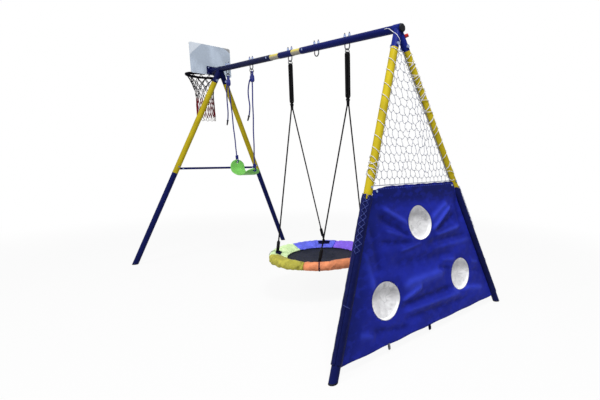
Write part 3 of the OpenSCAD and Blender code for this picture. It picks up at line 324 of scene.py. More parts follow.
class Finish(Tree):
    """A material with one principled shader."""

    def __init__(self, name, shine=0.5, sockets=None):
        self.material = bpy.data.materials.new(name)
        super().__init__(self.material)
        self.shader = self.tree.nodes["Principled BSDF"]
        self.feed(self.shader, {"Specular IOR Level": shine, **(sockets or {})})

    def place(self, stretch=(1, 1, 1)):
        """Object coordinates, stretched along the axes."""
        own = self.node("ShaderNodeTexCoord", None, None, "Object")
        return self.node("ShaderNodeMapping", None, {"Vector": own, "Scale": stretch})

    def clouds(self, scale, detail=2.0, stretch=(1, 1, 1)):
        """Noise with a number of blotches to the metre."""
        sockets = {"Vector": self.place(stretch), "Scale": scale, "Detail": detail}
        return self.node("ShaderNodeTexNoise", None, sockets)

    def axis(self, name):
        """One Object coordinate, in metres."""
        own = self.node("ShaderNodeTexCoord", None, None, "Object")
        return self.node("ShaderNodeSeparateXYZ", None, {0: own}, name)

    def chart(self, name):
        """One coordinate of the piece's own UV map: X or Y."""
        own = self.node("ShaderNodeUVMap", {"uv_map": "UVMap"})
        return self.node("ShaderNodeSeparateXYZ", None, {0: own}, name)

    def wave(self, name, length):
        """Sine along one coordinate of the UV map, of a wave length."""
        return (self.chart(name) * (2 * math.pi / length)).sine()

    def mix(self, share, first, second):
        """A colour between two colours."""
        return self.node("ShaderNodeMix", {"data_type": "RGBA"}, {0: share, 6: first, 7: second}, 2)

    def tones(self, share, colour, low, high):
        """A colour between two tones of one colour."""
        return self.mix(share, shade(colour, low), shade(colour, high))

    def bump(self, height, depth, strength):
        """Fine relief from a height between 0 and 1 and its depth in metres; gives the finished material."""
        sockets = {"Height": height, "Distance": depth, "Strength": strength}
        self.feed(self.shader, {"Normal": self.node("ShaderNodeBump", None, sockets)})
        return self.material

    def paint(self, colour, rough):
        """Colour and roughness of the shader."""
        self.feed(self.shader, {"Base Color": colour, "Roughness": rough})


def powder_coat(name, colour, gloss=0.4):
    """Baked paint: faint orange peel, cloudy tone and a few pale scuffs along the tube."""
    f = Finish(name, 0.05)
    tone = f.clouds(7).between(0.3, 0.7)
    scuff = f.clouds(45, 5, (1, 1, 0.3)).between(0.68, 0.77)
    base = f.tones(tone, colour, 0.88, 1.08)
    f.paint(f.mix(scuff * 0.2, base, shade(colour, 1.5)), gloss + 0.1 * tone + 0.2 * scuff)
    return f.bump(f.clouds(650, 1) + 0.3 * f.clouds(180, 1), 0.0004, 0.35)


def yellow_painted_shade_below(name, colour, underside_grey):
    """Yellow paint with painted shade: the tube turns grey below a line that wavers along it, with a few darker
    specks.
    """
    f = Finish(name, 0.15)
    streak = f.clouds(60, 4, (0.3, 1, 1)) * 0.012
    # Painted shade: grey below a line a little under the beam's height.
    painted_shade_below = 1 - (f.axis("Z") - BEAM_HEIGHT + streak - 0.006).between(-0.012, 0.012)
    edge = f.clouds(160, 3).between(0.55, 0.7)
    base = f.mix(painted_shade_below, colour, underside_grey)
    f.paint(f.mix(edge * 0.25, base, shade(underside_grey, 0.7)), 0.4 + 0.1 * painted_shade_below)
    return f.bump(f.clouds(300, 2), 0.0004, 0.4)


def zinc(name, colour):
    """Plated steel: spangled tone, dull patches and fine scratches."""
    f = Finish(name, sockets={"Metallic": 1.0})
    spangle = f.node("ShaderNodeTexVoronoi", None, {"Vector": f.place(), "Scale": 260.0}, "Color")
    dull = f.clouds(90, 4).between(0.4, 0.7)
    base = f.tones(dull, colour, 1.1, 0.7)
    f.paint(f.mix(0.08, base, spangle), 0.26 + 0.25 * dull)
    return f.bump(f.clouds(500, 3, (1, 1, 0.2)), 0.0003, 0.3)


def moulded(name, colour, gloss=0.4, grain=900.0):
    """Moulded plastic or rubber: fine grain, faint flow marks and rubbed spots."""
    f = Finish(name, 0.1)
    flow = f.clouds(14, 3).between(0.3, 0.7)
    rubbed = f.clouds(60, 4).between(0.62, 0.76)
    base = f.tones(flow, colour, 0.88, 1.08)
    f.paint(f.mix(rubbed * 0.2, base, shade(colour, 1.6)), gloss + 0.12 * flow)
    return f.bump(f.clouds(grain, 1), 0.0004, 0.4)


def braid(name, colour, strands=4, pitch=0.016, gap=0.45):
    """Braided rope: crossing strands worked out from the length along the rope and the turn round it."""
    f = Finish(name, 0.06)
    turn = f.chart("Y") * (2 * math.pi * strands)
    along = f.chart("X") * (2 * math.pi / pitch)
    cross = (turn + along).sine() * (turn - along).sine()
    lit = cross.between(-0.7, 0.5)
    wear = f.clouds(120, 3).between(0.35, 0.75)
    base = f.tones(lit, colour, gap, 1)
    f.paint(f.mix(wear * 0.3, base, shade(colour, 1.35)), 0.62 + 0.2 * wear)
    fibre = (along * 6.0 + turn * 3.0).sine()
    return f.bump(lit + 0.15 * fibre, 0.0012, 0.7)


def net_cord(name, colour):
    """Twisted cord: a fine slanting lay with painted shade in its grooves, and soft fuzz."""
    f = Finish(name, 0.1)
    lay = (f.chart("X") * 1800.0 + f.chart("Y") * (4 * math.pi)).sine()
    fuzz = f.clouds(300, 3)
    # Painted shade: darker in the grooves of the lay.
    f.paint(f.tones(lay.between(-1, 0.4), colour, 0.7, 1), 0.7 + 0.2 * fuzz)
    return f.bump(lay + fuzz, 0.0006, 0.5)


def hoop_cord():
    """Net cord of the hoop: dark at the ring, pale in the middle, red below and pale at the loops."""
    f = Finish("hoop_net_cord", 0.06)
    drop = f.chart("Y")
    dark = linear(16, 16, 26)
    pale = linear(205, 200, 198)
    red = linear(118, 30, 40)
    fuzz = f.clouds(260, 3)
    patch = f.clouds(28, 2).between(0.42, 0.52)
    upper = f.mix((drop + 0.06 * fuzz).between(0.34, 0.40) * patch, dark, pale)
    lower = f.mix((drop + 0.12 * fuzz).between(0.54, 0.60), upper, red)
    colour = f.mix((drop + 0.05 * fuzz).between(0.92, 0.95), lower, pale)
    lay = (f.chart("X") * 1500.0).sine()
    lit = lay.between(-1, 0.3) * 0.25 + 0.75
    f.paint(f.mix(lit, shade(linear(40, 30, 36), 0.8), colour), 0.75 + 0.15 * fuzz)
    return f.bump(lay + fuzz, 0.0006, 0.5)


def coated_cloth(name, colour, stitched_and_shaded=False, weave=0.0011):
    """Coated sheet cloth: a fine plain weave and streaks where it is drawn tight.

    The UV map holds metres across and up the sheet. With stitches and painted light switched on, the cloth gets
    painted shade along its top band over the hem and along its front edge, and a row of stitches below its top.
    A point attribute with the folds' relief, 0.5 where the sheet lies flat, paints a highlight on the folds'
    ridges and shade in their valleys."""
    f = Finish(name, 0.05)
    streak = f.clouds(5, 4, (1, 0.5, 1.6)).between(0.35, 0.7)
    crease = f.clouds(26, 5, (1, 0.7, 1.0)).between(0.5, 0.62)
    base = f.tones(streak, colour, 0.72, 1.12)
    if stitched_and_shaded:
        across, up = f.chart("X"), f.chart("Y")
        # Painted shade: the band along the top, over the hem, darkened towards navy.
        hem_painted_shade = (up + 0.05 * f.clouds(8, 3)).between(0.80, 0.90)
        # Painted shade: a darker strip along the front edge, next to the front sleeve.
        front = 1 - (across + (SLANT - up) * math.tan(LEG_ANGLE)).between(0.05, 0.17)
        stitch = 1 - (up - SHEET_TOP + 0.014).size().between(0.0012, 0.0026)
        stitch = stitch * (across * 330.0).sine().between(-0.2, 0.2)
        # Painted highlight on the folds' ridges and painted shade in their valleys, from the relief in the
        # attribute.
        fold = f.node("ShaderNodeAttribute", {"attribute_name": "fold"}, None, "Fac")
        base = f.mix(fold.between(0.54, 0.9) * 0.6, base, linear(58, 74, 206))
        base = f.mix((1 - fold).between(0.54, 0.9) * 0.65, base, linear(14, 20, 88))
        base = f.mix(hem_painted_shade * 0.78, base, linear(12, 18, 62))
        base = f.mix(front * 0.62, base, linear(14, 24, 84))
        base = f.mix(stitch * 0.6, base, linear(70, 84, 190))
    f.paint(f.mix(crease * 0.22, base, shade(colour, 1.5)), 0.4 + 0.14 * streak)
    threads = f.wave("X", weave) * f.wave("Y", weave) * 0.05
    return f.bump(threads + 0.5 * f.clouds(38, 5, (1, 0.8, 1.2)) + 0.2 * f.clouds(160, 2), 0.003, 0.35)


def mesh_cloth(name, colour):
    """Fine mesh cloth: rows of small openings and soft creases, with painted shade along thin crease lines
    and a painted highlight round the lower rim.
    """
    f = Finish(name, 0.1)
    mesh = 0.0032
    hole = (f.wave("X", mesh) * f.wave("Y", mesh)).between(0.25, 0.7)
    crease = f.clouds(22, 5).between(0.4, 0.68)
    # Painted shade: thin dark lines along the creases.
    line = 1 - (f.clouds(9, 2) - 0.5).size().between(0.004, 0.012)
    east, north = f.chart("X"), f.chart("Y")
    # Painted highlight: the lower part of the rim round the hole, turned white.
    lip = east.reach(north).between(0.096, 0.099) * (0 - north).between(0.01, 0.05)
    base = f.tones(crease, colour, 0.86, 1.06)
    base = f.mix(line * 0.35, base, shade(colour, 0.45))
    base = f.mix(lip, base, (1, 1, 1, 1))
    f.paint(f.mix(hole * 0.3, base, shade(colour, 0.45)), 0.8 + 0.1 * crease)
    return f.bump(0.3 * hole + f.clouds(30, 4), 0.003, 0.4)


def pad_cloth(name, colour):
    """Cover cloth of a rim pad: close weave, soft creases and a stitched line near the inner edge."""
    f = Finish(name, 0.08)
    east = f.axis("X") - SAUCER_X
    north = f.axis("Y")
    seam = 1 - (east.reach(north) - (PAD_OPEN_R + 0.012)).size().between(0.0005, 0.0016)
    dash = (north.maths("ARCTAN2", north, east) * 360.0).sine().between(-0.5, 0.1)
    crease = f.clouds(24, 5).between(0.42, 0.66)
    base = f.tones(crease, colour, 0.82, 1.08)
    f.paint(f.mix(seam * dash * 0.6, base, shade(colour, 0.55)), 0.46 + 0.14 * crease)
    weave = (f.axis("X") * 4200.0).sine() * (f.axis("Y") * 4200.0).sine()
    return f.bump(f.clouds(34, 5) + 0.03 * weave - 0.25 * seam, 0.0035, 0.45)


def woven_mat(name, colour):
    """Mat of flat woven strips, over and under, with painted shade towards each strip's edges and pale dust in
    random patches.
    """
    f = Finish(name, 0.05)
    strip = 0.0042
    east = (f.axis("X") * (math.pi / strip)).sine()
    north = (f.axis("Y") * (math.pi / strip)).sine()
    over = (east * north).between(-0.15, 0.15)
    ridge = over * north.size() + (1 - over) * east.size()
    dust = f.clouds(9, 4).between(0.45, 0.75)
    # Painted shade: darker where the woven relief is low, towards each strip's edges.
    base = f.tones(ridge.between(0.05, 0.6), colour, 0.45, 1.15)
    f.paint(f.mix(dust * 0.15, base, shade(colour, 1.8)), 0.55 + 0.2 * dust)
    return f.bump(ridge, 0.0009, 0.8)


def ribbed_webbing(name, colour):
    """Woven webbing with ribs across and a row of stitches."""
    f = Finish(name, 0.05)
    rib = f.wave("X", 0.0018)
    tooth = f.wave("Y", 1 / 14)
    fuzz = f.clouds(240, 3)
    f.paint(f.tones((rib * tooth).between(-0.6, 0.5), colour, 0.5, 1.3), 0.75 + 0.15 * fuzz)
    return f.bump(rib * 0.6 + tooth * 0.3 + fuzz * 0.3, 0.0008, 0.6)


def board_sheet(name, colour):
    """Plastic board with its thin cover film: a pale film corner, a torn corner and dull smears."""
    f = Finish(name, 0.2, {"Coat Weight": 0.05, "Coat Roughness": 0.2})
    low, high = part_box("hoop_board")
    across = (f.axis("Y") - low.y) / (high.y - low.y)
    drop = (high.z - f.axis("Z")) / (high.z - low.z)
    wobble = f.clouds(18, 4) * 0.25 - 0.125
    edge = 1 - (across / 0.30 + drop / 0.42 + wobble).between(0.95, 1.0)
    torn = 1 - ((1 - across) / 0.19 + drop / 0.17 + wobble * 2.0).between(0.9, 1.0)
    smear = f.clouds(8, 4, (1, 1, 0.6)).between(0.42, 0.66)
    speck = f.clouds(130, 4).between(0.62, 0.7)
    base = f.tones(smear, colour, 0.88, 1.1)
    film = f.mix(edge * 0.6, base, linear(226, 232, 240))
    film = f.mix(torn * 0.7, film, linear(128, 122, 116))
    f.paint(f.mix(speck * 0.2, film, linear(96, 92, 88)), 0.28 + 0.2 * smear)
    return f.bump(f.clouds(40, 4) + 0.4 * edge, 0.0015, 0.3)


class Shape:
    """Surfaces gathered into one mesh: points, faces and the corners' places on a flat chart."""

    def __init__(self):
        self.points = []
        self.faces = []
        self.charts = []
        self.count = 0

    def add(self, points, faces, charts):
        """Points (n, 3), faces (f, k) and charts (f, k, 2)."""
        self.points.append(np.asarray(points, float).reshape(-1, 3))
        self.faces += (np.asarray(faces) + self.count).tolist()
        self.charts.append(np.asarray(charts, float).reshape(-1, 2))
        self.count += len(self.points[-1])

    def grid(self, points, chart, around=False, ring=False, keep=None):
        """Surface over rows and columns; around joins the last column to the first one, ring the last row.

        Keep picks the cells. The outer side is where columns turned towards rows point."""
        rows, cols = points.shape[:2]
        row, col = np.meshgrid(np.arange(rows - (not ring)), np.arange(cols - (not around)), indexing="ij")
        rows_of = np.stack([row, row, row + 1, row + 1], -1)
        cols_of = np.stack([col, col + 1, col + 1, col], -1)
        faces = rows_of % rows * cols + cols_of % cols
        chosen = np.ones(row.shape, bool) if keep is None else keep
        self.add(points, faces[chosen], chart[rows_of, cols_of][chosen])

    def closed(self, points, along, ring=False):
        """Surface that closes round its columns, with its first and last rows filled in or joined to a ring."""
        rows, sides = points.shape[:2]
        start = self.count
        last = start + (rows - 1) * sides
        chart = np.stack(np.meshgrid(along, np.arange(sides + 1) / sides, indexing="ij"), -1)
        self.grid(points, chart, True, ring)
        if not ring:
            self.faces += [list(range(start + sides - 1, start - 1, -1)), list(range(last, last + sides))]
            self.charts += [chart[0, :-1][::-1], chart[-1, :-1]]

    def tubes(self, paths, radius, sides, ref, ring=False):
        """Round tubes along paths (tubes, points, 3): rings square to the path, closed ends or closed rings.

        The radius is a number or an array that fits (tubes, points, sides)."""
        paths = np.asarray(paths, float)
        paths = paths.reshape((-1,) + paths.shape[-2:])
        wide = np.broadcast_to(radius, paths.shape[:2] + (sides,))[..., None]
        angle = round_turn(sides)[:, None]
        for path, reach in zip(paths, wide):
            whole = np.concatenate([path[-1:], path, path[:1]])
            along = unit(whole[2:] - whole[:-2] if ring else np.gradient(path, axis=0))
            across = unit(np.cross(ref, along))
            third = np.cross(along, across)
            spoke = np.cos(angle) * across[:, None] + np.sin(angle) * third[:, None]
            self.closed(path[:, None] + reach * spoke, far_along(whole[1:] if ring else path), ring)

    def bar(self, path, profile, ref):
        """A flat profile (k, 2), across and out, carried along a path (n, 3), with closed ends."""
        along = unit(np.gradient(path, axis=0))
        out = unit(np.broadcast_to(ref, along.shape) - along * np.sum(ref * along, -1, keepdims=True))
        across = np.cross(out, along)
        points = path[:, None] + profile[:, :1] * across[:, None] + profile[:, 1:] * out[:, None]
        self.closed(points, far_along(path))

    def piece(self, name, body, finish, stands_for=()):
        """The finished object, riding on a body of the frame."""
        mesh = bpy.data.meshes.new(name)
        mesh.from_pydata(np.concatenate(self.points).tolist(), [], self.faces)
        mesh.uv_layers.new(name="UVMap").data.foreach_set("uv", np.concatenate(self.charts).ravel())
        mesh.polygons.foreach_set("use_smooth", np.ones(len(mesh.polygons), bool))
        mesh.materials.append(finish)
        mesh.update()
        made = bpy.data.objects.new(name, mesh)
        bpy.context.scene.collection.objects.link(made)
        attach(made, body)
        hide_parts(*stands_for)
        return made


def thicken(made, thickness, offset=0, weld=None):
    """Gives a surface its thickness; a weld distance first closes its middle."""
    if weld:
        made.modifiers.new("close_middle", "WELD").merge_threshold = weld
    wall = made.modifiers.new("thickness", "SOLIDIFY")
    wall.thickness = thickness
    wall.offset = offset


def evenly(points, step):
    """The same line with points at an even step."""
    points = np.asarray(points, float)
    far = far_along(points)
    places = np.linspace(0, far[-1], max(3, int(far[-1] / step) + 1))
    return np.stack([np.interp(places, far, points[:, k]) for k in range(3)], -1)


def curve_through(points, steps):
    """Smooth curve through points: on each span a cubic that leaves along the line between the neighbours."""
    p = np.asarray(points, float)
    before = np.concatenate([p[:1], p[:-2]])
    after = np.concatenate([p[2:], p[-1:]])
    t = (np.arange(steps) / steps)[None, :, None]
    a, b, c, d = (x[:, None] for x in (before, p[:-1], p[1:], after))
    spans = 2 * b + (c - a) * t + (2 * a - 5 * b + 4 * c - d) * t ** 2 + (3 * b - a - 3 * c + d) * t ** 3
    return np.concatenate([spans.reshape(-1, 3) / 2, p[-1:]])


def braided_radius(path, radius, sides, strands=4, pitch=0.016, bulge=0.04):
    """Radius of a braided rope: the product of two waves that wind round it in opposite ways."""
    far = far_along(path)[:, None] * 2 * math.pi / pitch
    turn = round_turn(sides)[None] * strands
    return radius * (1 + bulge * np.sin(turn + far) * np.sin(turn - far))[None]


def rope(shape, line, radius, ref, step=0.0026, sides=16, ring=False, bulge=0.04):
    """A braided rope along a line, added to a shape."""
    path = evenly(line, step)
    if ring:
        path = path[:-1]
    shape.tubes(path, braided_radius(path, radius, sides, bulge=bulge), sides, ref, ring)


def goal_frame(out, y, up):
    """Points on the goal end's A-frame: out from its plane, along it, and up its slope from the ground."""
    x = MIDDLE_X + FOOT_SPAN / 2 + out * math.cos(LEAN) - up * math.sin(LEAN)
    z = up * math.cos(LEAN) + out * math.sin(LEAN)
    return np.stack(np.broadcast_arrays(x, y, z), -1)


def goal_leg(side, turn, down, radius):
    """Points round a goal leg: turn in degrees from straight out to the sheet's face, down from the top."""
    turn = np.radians(turn)
    off = radius * np.cos(turn)
    y = side * (off * math.cos(LEG_ANGLE) + down * math.sin(LEG_ANGLE))
    up = SLANT + off * math.sin(LEG_ANGLE) - down * math.cos(LEG_ANGLE)
    return goal_frame(radius * np.sin(turn), y, up)


def goal_leg_axis(side):
    """Direction down a goal leg."""
    return unit(goal_leg(side, 0, 1.0, 0.0) - goal_leg(side, 0, 0.0, 0.0))


def leg_y(up):
    """Distance of the goal legs' axes from the middle at a height on the slope."""
    return (SLANT - up) * math.tan(LEG_ANGLE)


def down_leg(up):
    """Distance down a leg for a height on the slope."""
    return (SLANT - up) / math.cos(LEG_ANGLE)


make_camera()

# Belt swing: spare rope ends first
ROPE_BLUE = braid("belt_rope_braid", linear(38, 46, 124), gap=0.6)
TIP_BLACK = moulded("rope_tip_plastic", linear(18, 19, 32), 0.35)

TAIL_ROUTES = {
    "belt_tail_left": [
        [8, -5, 26], [8, -12, 22], [7, -17, 10], [2, -18, -10], [-6, -18, -40], [-11, -18, -80],
        [-13, -18, -130], [-11, -18, -180], [-9, -18, -225], [-14, -18, -265], [-25, -17, -298],
        [-38, -16, -326], [-50, -16, -350],
    ],
    "belt_tail_right": [
        [-8, -5, 26], [-8, -12, 22], [-12, -17, 10], [-22, -18, -10], [-36, -18, -40], [-45, -18, -75],
        [-46, -18, -112], [-39, -18, -152], [-32, -18, -190], [-35, -18, -225], [-48, -17, -260],
        [-67, -16, -292], [-87, -16, -320],
    ],
}
TIP_LEN = 0.056
# Length along the tip, and radius there
TIP_PROFILE = [[0, 0.004, 0.011, 0.014, 0.048, TIP_LEN],
               [0.0058, 0.0088, 0.0088, 0.0066, 0.0062, 0.0045]]


def belt_tail(node, hang_x):
    """A spare rope end hanging from its adjuster, with a moulded tip: a collar and a tapered end."""
    line = curve_through(TAIL_ROUTES[node], 6) / 1000 + (hang_x, 0, ADJUSTER_LOW)
    far = far_along(line)
    shape = Shape()
    rope(shape, line, BELT_ROPE_R, (0, 1, 0))
    tail = shape.piece(node + "_rope", "belt_hangers", ROPE_BLUE, [node])
    tip_line = evenly(line[far > far[-1] - TIP_LEN], 0.002)
    share = np.linspace(0, TIP_LEN, len(tip_line))
    radius = np.interp(share, *TIP_PROFILE)
    tip = Shape()
    tip.tubes(tip_line, radius[None, :, None], 20, (0, 1, 0))
    end = tip.piece(node + "_tip", "belt_hangers", TIP_BLACK)


belt_tail("belt_tail_left", BELT_HANG_X[0])
belt_tail("belt_tail_right", BELT_HANG_X[1])


def seat_end_arc(side, tilt):
    """Points on the bend at a seat end, across and up, by the slope of the seat there."""
    x = BELT_X + side * (SEAT_ARC_X + SEAT_END_R * np.sin(tilt))
    return np.stack([x, SEAT_END_Z - SEAT_END_R * np.cos(tilt)], -1)


def seat_end(i):
    """A seat end: where its tab starts and the tab's direction, as points across and up; 0 is left, 1 right."""
    side = (-1, 1)[i]
    tilt = SEAT_TILT[i]
    return seat_end_arc(side, tilt), np.array([side * math.cos(tilt), math.sin(tilt)])


def belt_rope(node, i):
    """A swing rope: a straight run from the adjuster, a wound knot, and a loop through the seat's hole."""
    shape = Shape()
    start, way = seat_end(i)
    loop_x, loop_z = start + way * (SEAT_TAB + SEAT_LOOP_R)
    knot_z = loop_z + SEAT_LOOP_R + 0.008
    top = np.array((BELT_HANG_X[i], 0, ADJUSTER_LOW + 0.025))
    low = np.array((loop_x, 0, knot_z - 0.012))
    share = np.linspace(0, 1, 60)[:, None]
    sway = 0.0012 * np.sin(share * 19) * np.sin(share * math.pi)
    rope(shape, top + (low - top) * share + sway * (1, 0.6, 0), BELT_ROPE_R, (0, 1, 0))
    share = np.linspace(0, 1, 90)
    turn = share * KNOT_TURNS * 2 * math.pi
    coil = np.stack([loop_x + KNOT_R * np.cos(turn), KNOT_R * np.sin(turn),
                     knot_z + KNOT_LEN * (share - 0.5)], -1)
    rope(shape, coil, BELT_ROPE_R * 0.95, (0, 0, 1))
    angle = np.linspace(0, 2 * math.pi, 80)
    eye = np.stack([loop_x + SEAT_LOOP_R * np.sin(angle), 0.002 * np.sin(2 * angle),
                    loop_z - SEAT_LOOP_R * np.cos(angle)], -1)
    rope(shape, eye, BELT_ROPE_R, (0, 1, 0), ring=True)
    shape.piece(node + "_braid", "belt_hangers", ROPE_BLUE, [node])


belt_rope("belt_rope_left", 0)
belt_rope("belt_rope_right", 1)


def seat_half_line(i):
    """Middle line of one half of the belt seat, from the tab's tip to the lowest place, and its half width.

    The tab is straight and a half disc, then come an arc of the end's radius and one of the middle's radius."""
    side = (-1, 1)[i]
    start, way = seat_end(i)
    rise = SEAT_HALF_WIDTH * np.cos(np.linspace(0, 1, 40) * math.pi / 2)[:, None]
    bend = np.linspace(SEAT_TILT[i], SEAT_BEND, 24)[1:]
    turn = np.linspace(SEAT_BEND, 0, 30)[1:]
    middle_line = np.stack([BELT_X + side * SEAT_MIDDLE_R * np.sin(turn),
                            SEAT_END_Z - SEAT_DROP + SEAT_MIDDLE_R * (1 - np.cos(turn))], -1)
    line = np.concatenate([start + way * rise, seat_end_arc(side, bend), middle_line])
    width = np.full(len(line), SEAT_HALF_WIDTH)
    width[:40] = np.sqrt(np.clip(SEAT_HALF_WIDTH ** 2 - rise[:, 0] ** 2, 1e-8, None))
    return line, width


def belt_seat():
    """The belt seat: a rounded flat profile with a beaded edge carried along the hanging line from tip to tip.

    The tabs are half discs, so the profile narrows to nothing at the line's two ends."""
    right, right_width = seat_half_line(1)
    left, left_width = seat_half_line(0)
    line = np.concatenate([right, left[-2::-1]])
    width = np.concatenate([right_width, left_width[-2::-1]])
    across, out = superround(round_turn(48), 0.25, 0.4)
    bead = 1 + 0.28 * np.exp(-((np.abs(across) - 0.93) / 0.05) ** 2)
    along = unit(np.gradient(line, axis=0))
    normal = np.stack([-along[:, 1], along[:, 0]], -1)
    thick = SEAT_THICK / 2 * np.minimum(1, width / 0.012)
    offset = thick[:, None] * out * bead
    x, z = (line[:, k, None] + normal[:, k, None] * offset for k in (0, 1))
    points = np.stack([x, -across * width[:, None], z], -1)
    shape = Shape()
    shape.closed(points, far_along(line))
    green = moulded("seat_green_moulding", linear(124, 198, 98), 0.42, 700.0)
    seat = shape.piece("belt_seat_moulding", "belt_seat", green, ["belt_seat"])
    drill = Shape()
    for i in (0, 1):
        start, way = seat_end(i)
        x, z = start + way * SEAT_TAB
        square = np.array([-way[1], 0, way[0]])
        drill.tubes(np.array([x, 0, z]) + square * np.array([[-0.02], [0.02]]), SEAT_HOLE_R, 32, (0, 1, 0))
    cut_holes(seat, drill)


def cut_holes(made, drill):
    """Cuts the drill's shape out of a piece and keeps the cut mesh."""
    mesh = bpy.data.meshes.new("drill")
    mesh.from_pydata(np.concatenate(drill.points).tolist(), [], drill.faces)
    cutter = bpy.data.objects.new("drill", mesh)
    bpy.context.scene.collection.objects.link(cutter)
    cut = made.modifiers.new("holes", "BOOLEAN")
    cut.object = cutter
    cut.solver = "EXACT"
    settle(made)
    bpy.data.objects.remove(cutter)


def settle(made):
    """Applies a piece's modifiers to its mesh."""
    graph = bpy.context.evaluated_depsgraph_get()
    mesh = bpy.data.meshes.new_from_object(made.evaluated_get(graph))
    made.modifiers.clear()
    made.data = mesh


belt_seat()

# Saucer swing
ROPE_BLACK = braid("saucer_rope_braid", linear(15, 15, 18), gap=0.55)
WEBBING = ribbed_webbing("rim_loop_webbing", linear(10, 11, 52))
WHIPPING = ribbed_webbing("rope_whipping_twine", linear(18, 18, 22))
SLEEVE_BLACK = moulded("rope_sleeve_rubber", linear(14, 14, 17), 0.45)


def hanging_oval(shape, middle, half):
    """A long upright oval of rope: straight runs, half to either side of its middle, and two half rounds."""
    angle = np.linspace(0, math.pi, 30)[:, None]
    bend = np.concatenate([half * np.cos(angle), np.linalg.norm(half) * np.sin(angle)], 1)
    top = bend + (*middle, STRAP_HIGH - STRAP_HALF)
    low = (*middle, STRAP_LOW + STRAP_HALF) - bend
    rope(shape, np.concatenate([top, low, top[:1]]), STRAP_R, (half[1], half[0], 0), ring=True, bulge=0.03)


def saucer_hangers():
    """The doubled hanging ropes: two long ovals of rope through each ring, a third oval turned square to them
    inside, and the whipping below."""
    straps = Shape()
    whipping = Shape()
    for x in SAUCER_HANG_X:
        for y in (-STRAP_PAIR_Y, STRAP_PAIR_Y):
            hanging_oval(straps, (x, y), STRAP_HALF * np.array([1, 0]))
        hanging_oval(straps, (x - STRAP_HALF + STRAP_NEXT, 0), STRAP_PAIR_Y * np.array([0, 1]))
        rows = np.linspace(0, 1, 110)
        z = FORK_Z + (GATHER_LEN - 0.004) * rows
        knot = np.exp(-((rows - 0.82) / 0.13) ** 2)
        swell = 0.0092 + 0.0012 * rows + 0.0008 * np.abs(np.sin(rows * 13 * math.pi)) + 0.0034 * knot
        swell = swell - 0.003 * (1 - smooth(rows / 0.06))
        path = np.stack([np.full(110, x), np.zeros(110), z], -1)
        whipping.tubes(path, swell[None, :, None], 28, (0, 1, 0))
    straps.piece("saucer_hanging_ropes", "saucer", ROPE_BLACK, ["saucer_straps"])
    whipping.piece("saucer_rope_whipping", "saucer", WHIPPING, ["saucer_gathers"])


saucer_hangers()

SKIRT_TOP = PAD_R * np.array([math.cos(math.radians(115)), math.sin(math.radians(115))])
SKIRT_LOW = np.array([PAD_OPEN_R - RIM_R + 0.034, 0.004])
SKIRT_WAY = unit(SKIRT_LOW - SKIRT_TOP)
SKIRT_OUT = np.array([SKIRT_WAY[1], -SKIRT_WAY[0]])
WEBBING_T = 0.002
WEBBING_WIDE = 0.008
PATCH_HALF = 0.047
PATCH_GAP = 0.0007
PATCH_WIDE = 0.040
PATCH_SHIFT = 0.008
PATCH_MIDDLE = SKIRT_TOP + SKIRT_WAY * (ROPE_END_IN + SKIRT_TOP[0]) / -SKIRT_WAY[0]
ROPE_END_R = RIM_R - ROPE_END_IN
ROPE_END_Z = RIM_Z + PATCH_MIDDLE[1] + (PATCH_GAP + WEBBING_T) / SKIRT_OUT[1]

# Where each rope's sleeve starts above the rope's lower end, and its length, by the rope's end and side
SLEEVE_PLACES = {
    (-1, -1): (0.016, 0.068), (1, -1): (0.016, 0.078),
    (-1, 1): (0.046, 0.072), (1, 1): (0.022, 0.068),
}


def saucer_ropes():
    """Four ropes from the forks to the rim, each with a rubber sleeve near its lower end and a knot at it."""
    ropes = Shape()
    sleeves = Shape()
    for end, x in zip((-1, 1), SAUCER_HANG_X):
        for side in (-1, 1):
            angle = math.atan2(side, end) + ROPE_TURN
            low = np.array([SAUCER_X + ROPE_END_R * math.cos(angle), ROPE_END_R * math.sin(angle), ROPE_END_Z])
            top = np.array([x, side * (SAUCER_ROPE_R + 0.0004), FORK_Z + 0.012])
            rope(ropes, np.stack([low, top]), SAUCER_ROPE_R, (0, 1, 0))
            way = unit(top - low)
            rows = np.linspace(0, 1, 40)
            first, long = SLEEVE_PLACES[end, side]
            path = low + way * (first + long * rows[:, None])
            inwards = np.minimum(rows, 1 - rows) / 0.14
            swell = ROPE_COVER_R - 0.005 * (1 - smooth(inwards)) + 0.0004 * np.sin(rows * 40)
            sleeves.tubes(path, swell[None, :, None], 28, (0, 1, 0))
            turn = np.linspace(0, ROPE_KNOT_TURNS * 2 * math.pi, 70)[:, None]
            side_way = unit(np.cross(way, (0, 1, 0)))
            coil = low + way * (0.004 + 0.014 * turn / turn[-1])
            coil = coil + ROPE_KNOT_R * (np.cos(turn) * side_way + np.sin(turn) * np.cross(way, side_way))
            rope(ropes, coil, SAUCER_ROPE_R * 0.8, (0, 0, 1))
    ropes.piece("saucer_rope_braids", "saucer", ROPE_BLACK, ["saucer_ropes"])
    sleeves.piece("saucer_rope_covers", "saucer", SLEEVE_BLACK, ["saucer_rope_sleeves"])


saucer_ropes()


def rounded_strip(width, thick):
    """Outline of a flat strip with round edges: across from -width/2 to width/2, out from 0 to thick."""
    across, out = superround(round_turn(20), 0.35, 0.5)
    return np.stack([across * width, (1 + out) * thick], -1) / 2


